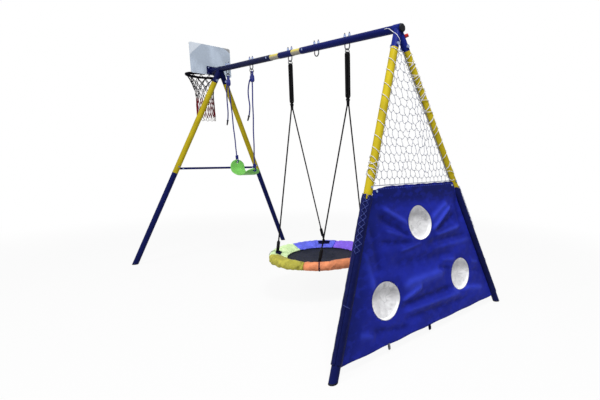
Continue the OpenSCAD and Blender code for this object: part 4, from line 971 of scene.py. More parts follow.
def rim_loops():
    """Webbing round the pads at each rope: a narrow band over the outside and a patch on the inner slope."""
    shape = Shape()
    for turn in ROPE_TURNS:
        radial = np.array([math.cos(turn), math.sin(turn), 0])
        lift = np.array([0, 0, 1.0])
        rim = np.array([SAUCER_X, 0, RIM_Z]) + RIM_R * radial
        angle = np.radians(np.linspace(-95, 117, 60))[:, None]
        spoke = np.cos(angle) * radial + np.sin(angle) * lift
        shape.bar(rim + (PAD_R + 0.0004) * spoke, rounded_strip(WEBBING_WIDE, WEBBING_T), spoke)
        slope = SKIRT_WAY[0] * radial + SKIRT_WAY[1] * lift
        out = SKIRT_OUT[0] * radial + SKIRT_OUT[1] * lift
        start = rim + SKIRT_TOP[0] * radial + SKIRT_TOP[1] * lift + PATCH_GAP * out
        run = np.linspace(-0.004, ROPE_END_IN * 0.8, 12)[:, None]
        shape.bar(start + run * slope, rounded_strip(WEBBING_WIDE, WEBBING_T), np.broadcast_to(out, (12, 3)))
        half = PATCH_HALF / ROPE_END_R
        swing = turn + np.linspace(-half, half, 30)[:, None]
        spokes = np.concatenate([np.cos(swing), np.sin(swing), 0 * swing], 1)
        reach, rise = PATCH_MIDDLE + PATCH_SHIFT * SKIRT_WAY + PATCH_GAP * SKIRT_OUT
        path = (SAUCER_X, 0, RIM_Z + rise) + (RIM_R + reach) * spokes
        shape.bar(path, rounded_strip(PATCH_WIDE, WEBBING_T), SKIRT_OUT[0] * spokes + SKIRT_OUT[1] * lift)
    shape.piece("saucer_rim_webbing", "saucer", WEBBING, ["saucer_rim_loops"])


rim_loops()

PAD_COLOURS = {
    "pink": (236, 110, 170),
    "purple": (144, 108, 246),
    "blue": (104, 112, 236),
    "green": (224, 254, 190),
    "yellow": (176, 170, 72),
    "orange": (226, 142, 100),
}
PAD_STEP = 60
PAD_START = 5
PAD_HALF = math.radians(PAD_STEP / 2) - 0.001 / RIM_R
PAD_HOLE_R = 0.0134


def pad_section(plump, bunched, t):
    """Outline of a pad's section round the rim: over the outside and the top, down the skirt, back along its
    underside and round the rim tube. The folds of a bunched pad run slantwise over its outside."""
    outer = np.radians(np.linspace(-85, 115, 26))
    left = smooth((0.35 - t) / 0.5)
    folds = ripple((0.055 + 0.05 * left, 15 * t + 2.6 * outer), (0.03 + 0.05 * left, 27 * t - 3.4 * outer + 1))
    bulge = (PAD_R * (plump + bunched * (folds - 0.03) * np.cos(outer / 2 - 0.15)))[:, None]
    over = bulge * np.stack([np.cos(outer), np.sin(outer)], -1)
    tip = np.array([PAD_OPEN_R - RIM_R + 0.04 * (1 - plump), 0])
    down = over[-1] + (SKIRT_LOW - over[-1]) * np.linspace(0, 1, 8)[1:, None]
    flap = SKIRT_LOW + (tip + (0, -0.004) - SKIRT_LOW) * np.linspace(0, 1, 5)[1:, None]
    under = tip + (0, -0.0121) + np.array([[0, 0], [0.02, 0], [0.05, 0]])
    inner = np.radians(np.linspace(178, -60, 16))
    round_tube = PAD_HOLE_R * np.stack([np.cos(inner), np.sin(inner)], -1)
    lip = np.array([[0.003, -0.0173]])
    return np.concatenate([over, down, flap, under, round_tube, lip])


def swell(made, excess, cap, frames=20):
    """Blows a closed cover up by inner pressure, held at the rim tube, under the webbing and at its two ends.

    The cover is remeshed in even cells first, and no point moves further than the cap."""
    remesh = made.modifiers.new("even_cells", "REMESH")
    remesh.mode = "VOXEL"
    remesh.voxel_size = 0.005
    settle(made)
    mesh = made.data
    rest = np.empty(len(mesh.vertices) * 3, np.float32)
    mesh.vertices.foreach_get("co", rest)
    rest = rest.reshape(-1, 3)
    off = rest - (SAUCER_X, 0, RIM_Z)
    reach = np.hypot(off[:, 0], off[:, 1]) - RIM_R
    near_tube = np.hypot(reach, off[:, 2]) < 0.019
    turn = np.arctan2(off[:, 1], off[:, 0])
    middle = np.arctan2(np.sin(turn).mean(), np.cos(turn).mean())
    near_end = turned_from(turn, middle) > PAD_HALF - 0.012
    below = (off[:, 2] < -0.011) & (reach < 0.002)
    strapped = np.min(turned_from(turn, ROPE_TURNS[:, None]), 0) < 0.17
    held = np.flatnonzero(near_tube | near_end | below | strapped)
    group = made.vertex_groups.new(name="held")
    group.add(held.tolist(), 1.0, "REPLACE")
    cloth = made.modifiers.new("swell", "CLOTH")
    cloth.settings.effector_weights.gravity = 0
    settings = {"vertex_group_mass": "held", "use_pressure": True, "uniform_pressure_force": 4.0,
                "shrink_min": -excess, "tension_stiffness": 25, "bending_stiffness": 0.4}
    for key, value in settings.items():
        setattr(cloth.settings, key, value)
    cloth.point_cache.frame_end = frames
    scene = bpy.context.scene
    for number in range(1, frames + 1):
        scene.frame_set(number)
    graph = bpy.context.evaluated_depsgraph_get()
    moved = np.empty(len(rest) * 3, np.float32)
    made.evaluated_get(graph).data.vertices.foreach_get("co", moved)
    move = moved.reshape(-1, 3) - rest
    far = np.linalg.norm(move, axis=1, keepdims=True)
    move = move * np.minimum(1, cap / np.maximum(far, 1e-9))
    made.modifiers.clear()
    made.vertex_groups.clear()
    mesh.vertices.foreach_set("co", (rest + move).ravel())
    mesh.update()
    scene.frame_set(1)


def rim_pad(index, colour):
    """A pad over a sixth of the rim: its section carried round the rim, drawn in towards its two ends."""
    middle = math.radians(PAD_START + PAD_STEP * (index + 0.5))
    share = np.linspace(-1, 1, 46)
    bunched = 1.0 if colour == "yellow" else 0.25
    sections = np.stack([pad_section(0.98 - 0.1 * t ** 4, bunched * (1 - t ** 6), t) for t in share])
    turn = middle + PAD_HALF * share
    wave = ripple((0.0016, 9 * share + index), (0.0012, 23 * share + 2 * index), (0.0008, 41 * share))
    high = smooth((sections[..., 1] + 0.005) / 0.02)
    lift = bunched * wave[:, None] * high
    reach = RIM_R + sections[..., 0]
    points = np.stack([SAUCER_X + reach * np.cos(turn)[:, None], reach * np.sin(turn)[:, None],
                       RIM_Z + sections[..., 1] + lift], -1)
    shape = Shape()
    shape.closed(points[:, ::-1], share)
    finish = pad_cloth(f"pad_cloth_{colour}", linear(*PAD_COLOURS[colour]))
    pad = shape.piece(f"saucer_cover_{colour}", "saucer", finish, [f"saucer_pad_{colour}"])
    swell(pad, 0.12 if colour == "yellow" else 0.05, 0.008)
    pad.data.polygons.foreach_set("use_smooth", np.ones(len(pad.data.polygons), bool))
    finer = pad.modifiers.new("finer", "SUBSURF")
    finer.levels = finer.render_levels = 1


for number, pad_name in enumerate(PAD_COLOURS):
    rim_pad(number, pad_name)


def saucer_mat():
    """The mat: a round woven sheet that sags a little towards its middle, as a shallow dish."""
    ring = np.linspace(0, 1, 40)[:, None]
    turn = round_turn(120)[None]
    radius = MAT_R * ring
    dip = 0.006 * (1 - ring ** 2) + 0.001 * np.sin(5 * turn + 4 * ring) * ring * (1 - ring)
    x, y = SAUCER_X + radius * np.cos(turn), radius * np.sin(turn)
    points = np.stack(np.broadcast_arrays(x, y, MAT_TOP - dip), -1)
    chart = np.stack(np.broadcast_arrays(ring, np.arange(121)[None] / 120), -1)
    shape = Shape()
    shape.grid(points[:, ::-1], chart, around=True)
    finish = woven_mat("mat_weave", linear(29, 32, 43))
    mat = shape.piece("saucer_mat_weave", "saucer", finish, ["saucer_mat"])
    thicken(mat, MAT_THICK, -1, 0.00001)


saucer_mat()

# Goal end
SHEET_BLUE = coated_cloth("sheet_cloth", linear(32, 42, 152), True)
# Sleeves: the sheet's blue cloth painted dark navy, as shade.
SLEEVE_PAINTED_SHADE = coated_cloth("sleeve_cloth_painted_shade", linear(15, 21, 74))
TAB_GREY = ribbed_webbing("hem_tab_webbing", linear(120, 120, 122))
CORD_WHITE = net_cord("lacing_cord", linear(226, 228, 233))
# Goal net: the white cord painted grey, as shade.
NET_CORD_PAINTED_SHADE = net_cord("goal_net_cord", linear(150, 154, 172))
LACE_PALE = net_cord("sleeve_lace", linear(84, 96, 170))
POCKET_PALE = mesh_cloth("pocket_mesh", linear(236, 236, 238))

# Relief, from valley to ridge, that gives a fold its full painted highlight and full painted shade
FOLD_FULL = 0.034
# Fold lines of the sheet: from and to, each along the sheet and up it, half width and height
FOLD_LINES = [
    (-0.3, 0.8, -0.11, 0.69, 0.016, 0.009), (-0.33, 0.76, -0.1, 0.62, 0.022, -0.011),
    (-0.3, 0.68, -0.06, 0.585, 0.018, 0.008), (-0.34, 0.61, -0.04, 0.575, 0.02, -0.008),
    (-0.2, 0.545, -0.02, 0.568, 0.013, 0.008), (0.115, 0.635, 0.3, 0.755, 0.014, 0.013),
    (0.11, 0.7, 0.27, 0.785, 0.018, 0.008), (0.15, 0.62, 0.34, 0.7, 0.02, -0.009),
    (0.13, 0.59, 0.4, 0.62, 0.018, 0.009), (0.05, 0.56, 0.44, 0.555, 0.022, -0.008),
    (0.08, 0.51, 0.48, 0.52, 0.024, 0.007), (-0.25, 0.48, 0.3, 0.46, 0.03, -0.007),
    (0.16, 0.43, 0.3, 0.405, 0.016, 0.008), (0.12, 0.385, 0.25, 0.36, 0.016, -0.007),
    (-0.2, 0.345, 0.16, 0.355, 0.03, 0.011), (-0.23, 0.262, -0.06, 0.305, 0.014, 0.01),
    (-0.24, 0.235, 0.24, 0.235, 0.022, -0.01), (-0.24, 0.195, 0.3, 0.175, 0.02, 0.008),
    (-0.22, 0.155, 0.4, 0.125, 0.022, -0.007), (0.22, 0.225, 0.58, 0.15, 0.02, 0.008),
    (0.46, 0.3, 0.56, 0.27, 0.014, -0.006), (0.47, 0.36, 0.56, 0.34, 0.014, 0.006),
    (-0.56, 0.17, -0.46, 0.13, 0.02, 0.006), (-0.47, 0.16, -0.2, 0.105, 0.022, -0.007),
    (-0.46, 0.58, -0.42, 0.36, 0.022, 0.007), (-0.4, 0.7, -0.36, 0.45, 0.028, -0.007),
    (0.36, 0.84, 0.4, 0.6, 0.02, -0.006),
]


def sheet_folds(y, up):
    """Relief of the sheet: a ridge or valley along each fold line, a bell over the distance from the line that
    fades towards the line's ends."""
    total = 0 * y
    for y0, v0, y1, v1, width, height in FOLD_LINES:
        run = np.array([y1 - y0, v1 - v0])
        share = ((y - y0) * run[0] + (up - v0) * run[1]) / (run @ run)
        held = np.clip(share, 0, 1)
        off = np.hypot(y - y0 - held * run[0], up - v0 - held * run[1])
        fade = smooth(share / 0.3 + 0.5) * smooth((1 - share) / 0.3 + 0.5)
        total = total + 1.6 * height * fade / (1 + (off / width) ** 2)
    return total


# Dents and bulges of the holes' edges: share of the radius, and middle and spread in degrees
HOLE_DENTS = {
    "high": [(-0.09, 48, 30), (0.045, -38, 28), (-0.03, 205, 30), (0.03, 100, 22)],
    "front": [(0.06, -95, 40), (-0.05, -40, 22), (0.025, 160, 30), (-0.03, 60, 24)],
    "back": [(-0.05, -20, 40), (0.035, -110, 30), (-0.03, 160, 30), (0.02, 80, 25)],
}


def hole_radius(word, turn):
    """Radius of a target hole's drawn edge by the turn round it: the round hole with soft dents and bulges."""
    dents = 0 * turn
    for height, middle, spread in HOLE_DENTS[word]:
        dents = dents + height * np.exp(-(((np.degrees(turn) - middle + 180) % 360 - 180) / spread) ** 2)
    return TARGET_R * (1 + dents)


def hole_gap(y, up):
    """Distance of sheet points from the nearest hole's edge, below 0 inside it."""
    gaps = []
    for word, (a, b) in TARGETS.items():
        gaps.append(np.hypot(y - a, up - b) - hole_radius(word, np.arctan2(up - b, y - a)))
    return np.min(gaps, axis=0)


def sheet_middle(up):
    """Distance of the unfolded sheet from the plane of the leg axes: it clears the crossbar at the top."""
    return HEM_OUT * smooth((up - CROSSBAR_UP + HEM_RISE) / (HEM_RISE - HEM_FLAT))


def sheet_edge(up):
    """Distance of the sheet's side edges from the middle, where they meet the sleeves."""
    return leg_y(up) - np.sqrt(SLEEVE_R ** 2 - sheet_middle(up) ** 2) / math.cos(LEG_ANGLE)


def sheet_out(y, up):
    """Distance of the folded sheet from the plane of the leg axes; folds fade at the legs, top and holes."""
    edge = np.clip(np.abs(y) / sheet_edge(up), 0, 1)
    gap = hole_gap(y, up)
    fade = (1 - edge ** 8) * smooth((CROSSBAR_UP - HEM_FLAT - up) / 0.09)
    fade = fade * (0.35 + 0.65 * smooth((up - SHEET_LOW) / 0.08))
    wave = sheet_folds(y, up) + cross_waves(y, up, (0.0012, 21, 17), (0.001, 33, -26), (0.0008, 0, 58),
                                            (0.0007, 85, 49), (0.0006, 64, -97))
    ridge, valley = smooth((gap - 0.002) / 0.03), smooth((gap - 0.02) / 0.05)
    out = np.maximum(wave, 0) * ridge + np.minimum(wave, 0) * valley
    hem = 0.0016 * np.exp(-((up - SHEET_LOW - 0.016) / 0.004) ** 2)
    return sheet_middle(up) + fade * out + hem


def target_sheet():
    """The target sheet: a grid between the two sleeves with three holes.

    Points near a hole's edge move onto it, and cells inside a hole are left out."""
    u = np.linspace(-1, 1, 200)
    rows = np.linspace(0, 1, 130)[:, None]
    drop = np.where(u < 0, np.abs(u) ** 9, 0.25 * np.abs(u) ** 30)
    top = SHEET_TOP - HEM_DROP * drop + ripple((0.0012, 17 * u), (0.0008, 41 * u + 1))
    up = SHEET_LOW + (top - SHEET_LOW) * rows + 0.0016 * np.sin(19 * u) * (1 - rows)
    y = u * sheet_edge(up)
    inside = np.zeros(y.shape, bool)
    for word, (centre_y, centre_up) in TARGETS.items():
        dy, dv = y - centre_y, up - centre_up
        gap = np.hypot(dy, dv)
        edge = hole_radius(word, np.arctan2(dv, dy))
        inside |= gap < edge - HOLE_SNAP
        factor = np.where(np.abs(gap - edge) < HOLE_SNAP, edge / np.maximum(gap, 1e-6), 1.0)
        y = centre_y + dy * factor
        up = centre_up + dv * factor
    cell = inside[:-1, :-1] | inside[1:, :-1] | inside[:-1, 1:] | inside[1:, 1:]
    shape = Shape()
    shape.grid(goal_frame(sheet_out(y, up), y, up), np.stack([y, up], -1), keep=~cell)
    sheet = shape.piece("target_sheet_cloth", "frame", SHEET_BLUE, ["target_sheet"])
    # The folds' relief, kept in an attribute for the sheet's painted highlight and painted shade.
    spots = np.concatenate(shape.points)
    relief = sheet_folds(spots[:, 1], spots[:, 2] / math.cos(LEAN))
    sheet.data.attributes.new("fold", "FLOAT", "POINT").data.foreach_set("value", 0.5 + relief / FOLD_FULL)
    thicken(sheet, SHEET_THICK)


target_sheet()


def sheet_sleeves():
    """The sleeves: cloth round each leg from one side of the slit to the other, a little loose and rumpled,
    with scalloped edges where they are laced and an uneven top."""
    length = down_leg(SLEEVE_LOW) - down_leg(SLEEVE_TOP)
    for side, word in ((-1, "front"), (1, "back")):
        rows = np.linspace(0, 1, 150)[:, None]
        share = np.linspace(0, 1, 64)[None]
        scallop = 2.5 * np.cos(rows * length * 2 * math.pi / 0.036)
        first = SLIT_MIDDLE + SLIT_HALF + scallop
        last = 360 + SLIT_MIDDLE - SLIT_HALF - scallop
        turn = first + (last - first) * share
        ragged = 0.006 * np.sin(turn / 31) + 0.004 * np.sin(turn / 13 + side)
        down = down_leg(SLEEVE_TOP) + length * rows + ragged * (1 - smooth(rows / 0.06))
        rumple = ripple((0.4, 47 * down + turn / 23), (0.35, 93 * down - turn / 17),
                        (0.3, 150 * down + turn / 40))
        loose = 0.0011 * (1 + rumple) + 0.003 * np.exp(-((down - down_leg(SLEEVE_TOP) - 0.03) / 0.02) ** 2)
        points = goal_leg(side, turn, down, SLEEVE_R + loose * np.sin(share * math.pi) ** 0.5)
        chart = np.stack(np.broadcast_arrays(np.radians(turn) * SLEEVE_R, -down), -1)
        if side < 0:
            points, chart = points[:, ::-1], chart[:, ::-1]
        shape = Shape()
        shape.grid(points, chart)
        sleeve = shape.piece(f"sheet_sleeve_{word}", "frame", SLEEVE_PAINTED_SHADE)
        thicken(sleeve, SHEET_THICK)


sheet_sleeves()


def hole_edges():
    """Rolled cloth edges of the three holes."""
    shape = Shape()
    turn = round_turn(140)
    for word, (y, up) in TARGETS.items():
        radius = hole_radius(word, turn)
        ring_y = y + radius * np.cos(turn)
        ring_up = up + radius * np.sin(turn)
        line = goal_frame(sheet_out(ring_y, ring_up), ring_y, ring_up)
        shape.tubes(line, HOLE_HEM_R, 8, GOAL_FACE, ring=True)
    # The hems wear the sheet's cloth, painted shade and painted highlight included.
    shape.piece("target_hole_hems", "frame", SHEET_BLUE)


hole_edges()


def hem_tabs():
    """Two short webbing loops sewn under the sheet's lower hem: a narrow strip folded into a hanging loop."""
    angle = np.linspace(-0.5 * math.pi, 1.5 * math.pi, 40)
    tabs = (("hem_tab_grey", -0.368, 0.011, TAB_GREY), ("hem_tab_black", -0.022, 0.016, WEBBING))
    for name, y, wide, finish in tabs:
        out = 0.0035 * np.cos(angle)
        up = SHEET_LOW - 0.012 - 0.016 * np.sin(angle + math.pi)
        path = goal_frame(out, y, up)[:-1]
        shape = Shape()
        shape.bar(path, rounded_strip(wide, 0.0016), unit(path - goal_frame(0, y, SHEET_LOW - 0.012)))
        shape.piece(name, "frame", finish)


hem_tabs()


def target_pocket(word, seed):
    """A pocket behind a hole: a round bag that narrows over a quarter wave, with a creased, sagging floor."""
    y, up = TARGETS[word]
    ring = np.linspace(0, 1, 46)[:, None]
    turn = round_turn(96)[None]
    rim = 0.12
    lip = TARGET_R + 0.012 - 0.014 * np.clip(ring / rim, 0, 1)
    body = np.clip((ring - rim) / (1 - rim), 0, 1)
    radius = np.where(ring < rim, lip, (TARGET_R - 0.002) * np.cos(body * math.pi / 2) ** 0.55)
    depth = POCKET_DEPTH * np.sin(body * math.pi / 2) ** 0.8
    crease = ripple((0.0022, 7 * turn + seed), (0.0016, 13 * turn + 2 * seed + 6 * body), (0.001, 29 * turn))
    depth = depth - np.abs(crease) * np.sin(body * math.pi) * 1.2
    sag = 0.012 * np.sin(body * math.pi) * np.clip(-np.sin(turn), 0, 1)
    ring_y = y + radius * np.cos(turn)
    ring_up = up + radius * np.sin(turn) - sag * 0.4
    points = goal_frame(-0.0019 - depth + 0 * turn, ring_y, ring_up)
    chart = np.stack([radius * np.cos(turn), radius * np.sin(turn)], -1)
    chart = np.concatenate([chart, chart[:, :1]], 1)
    shape = Shape()
    shape.grid(points, chart, around=True)
    bag = shape.piece(f"target_bag_{word}", "frame", POCKET_PALE, [f"target_pocket_{word}"])
    thicken(bag, POCKET_THICK, weld=0.00005)


for number, word in enumerate(TARGETS):
    target_pocket(word, 1.3 * number)


def net_side(up):
    """Distance of the net's side edges from the middle."""
    return leg_y(up) - NET_EDGE / math.cos(LEG_ANGLE)


def net_relief(y, up):
    """How the net hangs: bellied out of its plane in slow waves, drawn aside and bunched towards the back leg.

    All of it dies out at the net's edges."""
    inner = np.clip(1 - (np.abs(y) / np.maximum(net_side(up), 1e-3)) ** 2, 0, 1)
    ends = smooth((up - NET_LOW) / 0.1) * smooth((NET_TOP - up) / 0.1)
    hang = inner * ends
    bunch = smooth((NET_TOP - up) / 0.5)
    aside = 0.030 * np.exp(-((y - 0.09) / 0.11) ** 2) * bunch
    crowd = smooth((y + 0.02) / 0.12) * bunch * cross_waves(y, up, (0.008, 90, 20), (0.007, 60, -75))
    out = hang * cross_waves(y, up, (0.010, 7, 9), (-0.008, 15, -6))
    shift_y = hang * (aside + cross_waves(
        y, up, (0.009, 9, 11), (0.006, -14, 23), (0.004, 57, 41), (0.003, 157, 211), (0.003, 263, -131)))
    shift_up = hang * (crowd - 0.012 + cross_waves(
        y, up, (0.009, 13, -10), (0.005, 47, 61), (0.003, 191, -173), (0.003, 97, 239)))
    return goal_frame(out, y + shift_y, up + shift_up)


def goal_net():
    """The goal net: six-sided meshes cut to the frame's shape, with a knot at each corner and a border cord.

    Each mesh gives three cords, and every cord is cut where it leaves the border."""
    pitch = MESH_SIDE + MESH_RISE
    rows = int((NET_TOP - NET_LOW) / pitch) + 3
    j, i = np.meshgrid(np.arange(-1, rows), np.arange(-12, 13), indexing="ij")
    centre = np.stack([(i + (j % 2) / 2) * MESH_WIDE, NET_LOW + (j + 0.3) * pitch], -1).reshape(-1, 2)
    w, h = MESH_WIDE / 2, MESH_SIDE / 2
    tips = centre + (0, h + MESH_RISE)
    starts = np.concatenate([tips, tips, centre + (w, h)])
    ends = np.concatenate([centre + (w, h), centre + (-w, h), centre + (w, -h)])

    def room(p):
        y, up = p.T
        return np.stack([up - NET_LOW, NET_TOP - up, net_side(up) - y, net_side(up) + y])

    at_start, at_end = room(starts), room(ends)
    cut = at_start / np.where(at_start == at_end, 1e-9, at_start - at_end)
    first = np.max(np.where(at_start < 0, cut, 0), 0)
    last = np.min(np.where(at_end < 0, cut, 1), 0)
    whole = (last - first > 0.04) & ~np.any((at_start < 0) & (at_end < 0), 0)
    a = (starts + (ends - starts) * first[:, None])[whole]
    b = (starts + (ends - starts) * last[:, None])[whole]
    share = np.linspace(0, 1, 6)[None, :, None]
    flat = a[:, None] + (b - a)[:, None] * share
    lines = net_relief(flat[..., 0], flat[..., 1])
    slack = 0.0035 * np.random.default_rng(5).random((len(lines), 1))
    lines[..., 2] -= slack * np.sin(share[..., 0] * math.pi)
    shape = Shape()
    shape.tubes(lines, NET_CORD_R, 5, GOAL_FACE)
    knots = np.concatenate([starts, ends])[np.min(np.c_[at_start, at_end], 0) > 0.004]
    middle = net_relief(*np.unique(np.round(knots, 5), axis=0).T)
    ball = np.linspace(-1, 1, 5)[None, :, None] * np.array([0, 0, 0.0036]) + middle[:, None]
    round_off = np.array([0.0008, 0.0026, 0.0031, 0.0026, 0.0008])
    shape.tubes(ball, round_off[None, :, None], 6, (1, 0, 0))
    corners = np.array([[-1, NET_LOW], [1, NET_LOW], [1, NET_TOP], [-1, NET_TOP], [-1, NET_LOW]])
    corners[:, 0] *= net_side(corners[:, 1])
    border = np.concatenate([np.linspace(p, q, 60)[:-1] for p, q in zip(corners[:-1], corners[1:])])
    wobble = 0.0012 * np.sin(np.arange(len(border)) * 0.9)
    shape.tubes(goal_frame(wobble, border[:, 0], border[:, 1]), NET_BORDER_R, 8, GOAL_FACE, ring=True)
    shape.piece("goal_net_cords", "frame", NET_CORD_PAINTED_SHADE, ["goal_net"])


goal_net()


def wound_cord(shape, side, first, last, turns, start=0.0, hand=1, loose=0.0, wander=0.004):
    """Cord wound round a goal leg and the net's edge: an oval helix whose turns wander a little up and down."""
    middle = (NET_EDGE + 0.003 - TUBE_R) / 2
    share = np.linspace(0, 1, int(turns * 40))
    angle = hand * share * turns * 2 * math.pi + start
    drift = wander * (np.sin(angle + 0.6) + np.sin(share * 31 + side + 5 * start))
    down = first + (last - first) * share + drift
    out = (TUBE_R + 0.003 + loose) * np.cos(angle)
    inward = middle + (TUBE_R + middle + 0.0028 + loose) * np.sin(angle)
    y = side * (down * math.sin(LEG_ANGLE) - inward * math.cos(LEG_ANGLE))
    up = SLANT - inward * math.sin(LEG_ANGLE) - down * math.cos(LEG_ANGLE)
    shape.tubes(goal_frame(out, y, up), LACING_R, 7, goal_leg_axis(side))


def net_lacing():
    """White cord wound round each upper leg and the net's edge, with untidy extra turns at the front leg's
    lower end and along the back leg's upper half, and one run from the beam down round the front socket."""
    shape = Shape()
    top, low = down_leg(NET_TOP) + 0.01, down_leg(NET_LOW + 0.03)
    windings = [
        (-1, top, low, 10),
        (-1, low - 0.15, low + 0.005, 3, 1.0, 1, 0.0010, 0.008),
        (-1, low - 0.12, low - 0.02, 2, 2.5, -1, 0.0022, 0.012),
        (1, top, low, 10),
        (1, top + 0.005, top + 0.46, 7, 1.1, 1, 0.0010, 0.010),
        (1, top + 0.02, top + 0.40, 5, 2.9, -1, 0.0022, 0.014),
        (1, top + 0.01, top + 0.30, 4, 4.4, 1, 0.0030, 0.012),
        (1, low - 0.09, low + 0.005, 2, 0.4, -1, 0.0014, 0.010),
    ]
    for winding in windings:
        wound_cord(shape, *winding)
    turns = np.array([-20, 50, 120, 190, 260, 330, 400, 450])
    downs = np.array([0.036, 0.060, 0.084, 0.104, 0.122, 0.136, 0.146, 0.151])
    round_socket = goal_leg(-1, turns, downs, TUBE_R + 0.003)
    on_beam = np.array([[-0.088, -0.0246, 0.005], [-0.058, -0.0250, 0.004], [-0.036, -0.0285, -0.006]])
    on_beam = on_beam + (APEX_X, 0, BEAM_HEIGHT)
    run = curve_through(np.concatenate([on_beam, round_socket]), 10)
    shape.tubes(evenly(run, 0.003), LACING_R, 7, (0.3, 0.2, 1))
    shape.piece("net_lacing_cord", "frame", CORD_WHITE, ["net_lacing"])


net_lacing()


def sheet_lacing():
    """Thin pale cord laced criss-cross over the slit of each sleeve: two zigzags in opposite step."""
    shape = Shape()
    turns = 4.5
    share = np.linspace(0, 1, 150)
    top = down_leg(CROSSBAR_UP) + 0.020
    for side in (-1, 1):
        axis = goal_leg_axis(side)
        for step in (0, math.pi):
            wave = np.arcsin(0.98 * np.sin(share * turns * 2 * math.pi + step)) / (math.pi / 2)
            swing = 34 + 5 * np.sin(share * 17 + 2 * step)
            down = top + 0.318 * share + 0.004 * np.sin(share * 23 + step)
            lift = SLEEVE_R + 0.0036 + 0.0010 * np.abs(wave) + 0.0006 * (step > 0)
            shape.tubes(goal_leg(side, SLIT_MIDDLE + swing * wave, down, lift), SHEET_LACE_R, 6, axis)
        span = np.linspace(-1, 1, 24)
        loose = goal_leg(side, SLIT_MIDDLE + 36 * span, down_leg(0.335) + 0.006 * span, SLEEVE_R + 0.0036)
        shape.tubes(loose, SHEET_LACE_R, 6, axis)
    shape.piece("sheet_lacing_cord", "frame", LACE_PALE, ["sheet_lacing"])


sheet_lacing()


def hoop_net():
    """The hoop's net: a cord wound round the ring, two sets of cords that zigzag from knot to knot down a
    narrowing tube, and loops below.

    The chart's second coordinate is the share of the drop, which sets the cord's colour."""
    count = 12
    levels = np.array([0, 0.10, 0.20, 0.31, 0.43, 0.64, 0.92])
    waist = [HOOP_R - 0.004, 0.108, 0.084, 0.078, 0.080, 0.084]
    reach = np.interp(levels, [0, 0.13, 0.3, 0.43, 0.72, 1], waist)
    top = HOOP_Z - HOOP_ROD_R
    lines = []
    share = np.linspace(0, 1, 8)
    sag = 0.004 * np.sin(share * math.pi)
    for level in range(len(levels) - 1):
        spot = round_turn(count) + (level % 2) * math.pi / count
        for step in (-0.5, 0.5):
            turn = spot[:, None] + step * 2 * math.pi / count * share
            drop = levels[level] + (levels[level + 1] - levels[level]) * share
            belly = 1 - 0.02 * np.sin(share * math.pi)
            radius = (reach[level] + (reach[level + 1] - reach[level]) * share) * belly
            radius = radius * (1 + 0.03 * np.sin(3 * turn + level))
            z = top - HOOP_NET_LEN * drop - sag + 0.005 * np.sin(2 * turn + level) * (level > 0)
            lines.append(np.stack([HOOP_X + radius * np.cos(turn), radius * np.sin(turn), z], -1))
    shape = Shape()
    shape.tubes(np.concatenate(lines), HOOP_CORD_R, 6, (0, 0, 1.0))
    angle = round_turn(19)
    low = top - HOOP_NET_LEN * levels[-1]
    for turn in round_turn(count):
        radial = np.array([math.cos(turn), math.sin(turn), 0])
        across = np.array([-math.sin(turn), math.cos(turn), 0])
        eye = reach[-1] * radial + 0.013 * np.sin(angle)[:, None] * across
        eye = eye + np.array([HOOP_X, 0, low]) - (0.016 - 0.016 * np.cos(angle))[:, None] * (0, 0, 1)
        shape.tubes(eye, HOOP_LOOP_R, 6, radial, ring=True)
    wind = np.linspace(LASHING_OPEN, 2 * math.pi - LASHING_OPEN, LASHING_TURNS * 16)
    coil = wind * LASHING_TURNS
    out = HOOP_R + (HOOP_ROD_R + LASHING_R) * np.cos(coil)
    z = HOOP_Z + (HOOP_ROD_R + LASHING_R) * np.sin(coil)
    shape.tubes(np.stack([HOOP_X + out * np.cos(wind), out * np.sin(wind), z], -1), LASHING_R, 8, (0, 0, 1.0))
    height = np.concatenate(shape.points)[:, 2]
    corner = np.concatenate([np.ravel(face) for face in shape.faces]).astype(int)
    charts = np.concatenate(shape.charts)
    charts[:, 1] = np.clip((top - height[corner]) / HOOP_NET_LEN, 0, 1)
    shape.charts = [charts]
    shape.piece("hoop_net_cords", "frame", hoop_cord(), ["hoop_net"])


hoop_net()


LEGS = [f"{end}_{side}" for end in ("hoop", "goal") for side in ("front", "back")]
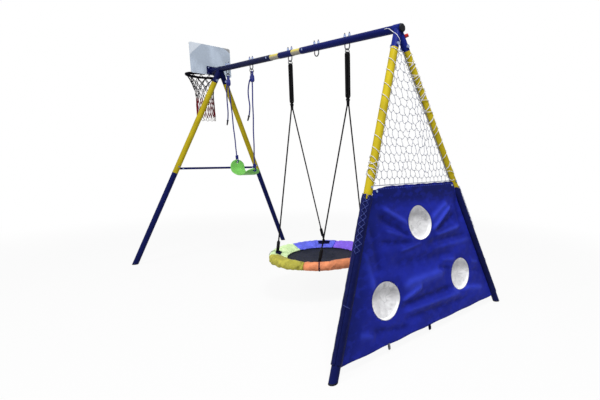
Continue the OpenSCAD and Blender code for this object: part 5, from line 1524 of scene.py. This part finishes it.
# Finishes of the nodes that keep their own mesh
NODE_FINISHES = {
    powder_coat("beam_powder_blue", linear(9, 19, 82)): [
        "beam_goal_tube", "beam_joint_collar", "goal_crossbar"],
    # Hoop end's beam tube: the beam's blue painted darker, as shade.
    powder_coat("beam_powder_painted_shade", linear(3, 11, 58)): ["beam_hoop_tube"],
    powder_coat("crossbar_powder_blue", linear(13, 22, 84)): ["hoop_crossbar"],
    powder_coat("bracket_powder_blue", linear(20, 32, 108)): ["goal_corner_bracket"],
    # Hoop end's brackets: the bracket blue painted darker, as shade.
    powder_coat("bracket_powder_painted_shade", linear(8, 14, 62)): ["hoop_corner_bracket", "hoop_bracket"],
    # Beam joint tube: yellow, with painted shade in grey along its underside.
    yellow_painted_shade_below("joint_tube_yellow", linear(206, 190, 84), linear(150, 146, 134)): ["beam_joint_tube"],
    powder_coat("leg_powder_yellow", linear(172, 154, 28)): ["upper_leg_" + leg for leg in LEGS],
    powder_coat("leg_powder_navy", linear(15, 22, 76)): ["lower_leg_" + leg for leg in LEGS],
    moulded("cap_black_plastic", linear(20, 21, 28), 0.4): ["beam_end_cap"],
    moulded("foot_black_rubber", linear(30, 30, 36), 0.6): ["foot_caps"],
    moulded("plug_red_plastic", linear(172, 40, 30), 0.3): ["bracket_plugs"],
    zinc("bolt_zinc", (0.26, 0.33, 0.56, 1)): [
        "beam_joint_bolts", "corner_bolts", "leg_joint_bolts", "crossbar_bolts", "hoop_bolts", "u_bolt_nuts"],
    # Hangers under the beam: the zinc painted near black, as shade, while the nuts above stay pale.
    zinc("hanger_zinc_painted_shade", (0.075, 0.08, 0.09, 1)): [
        "swing_u_bolts", "spare_u_bolt", "belt_rings", "saucer_rings", "saucer_rim"],
    board_sheet("board_film", linear(176, 188, 204)): ["hoop_board"],
    powder_coat("hoop_powder_black", linear(26, 26, 30), 0.42): ["hoop_ring"],
    moulded("adjuster_blue_plastic", linear(40, 48, 124), 0.28): ["belt_adjusters"],
}
for finish, nodes in NODE_FINISHES.items():
    for node in nodes:
        NODES[node].data.materials.clear()
        NODES[node].data.materials.append(finish)


def studio():
    """Pale floor that keeps the shadow, white surroundings for what looks or mirrors, and soft plain light."""
    mesh = bpy.data.meshes.new("studio_floor")
    corners = [(-1, -1), (1, -1), (1, 1), (-1, 1)]
    mesh.from_pydata([(FLOOR_HALF * x, FLOOR_HALF * y, FLOOR_Z) for x, y in corners], [], [(0, 1, 2, 3)])
    floor = bpy.data.objects.new("studio_floor", mesh)
    bpy.context.scene.collection.objects.link(floor)
    f = Finish("studio_floor_white", sockets={"Base Color": (0.65, 0.65, 0.65, 1), "Roughness": 0.9})
    glow = f.node("ShaderNodeEmission", None, {"Color": (1, 1, 1, 1), "Strength": 1.0})
    east, north = f.axis("X"), f.axis("Y")
    far = (east * east + north * north).between(5.0, 20.0)
    shaded = Value(f, f.shader.outputs[0])
    blend = f.node("ShaderNodeMixShader", None, {0: f.seen() * (0.92 + 0.08 * far), 1: shaded, 2: glow})
    f.feed(f.tree.nodes["Material Output"], {"Surface": blend})
    mesh.materials.append(f.material)
    world = bpy.data.worlds.new("studio_world")
    bpy.context.scene.world = world
    sky = Tree(world)
    strength = SKY_FILL + (1 - SKY_FILL) * sky.seen()
    sky.feed(sky.tree.nodes["Background"], {"Color": (1, 1, 1, 1), "Strength": strength})
    make_lamp("key_lamp", (0.8, -5.0, 4.6), (0.3, 0, 0.9), 2.5, 215)
    make_lamp("side_lamp", (3.1, -0.9, 4.8), (1.5, 0, 0.6), 1.2, 190)


studio()
bpy.context.scene.view_settings.view_transform = "Standard"
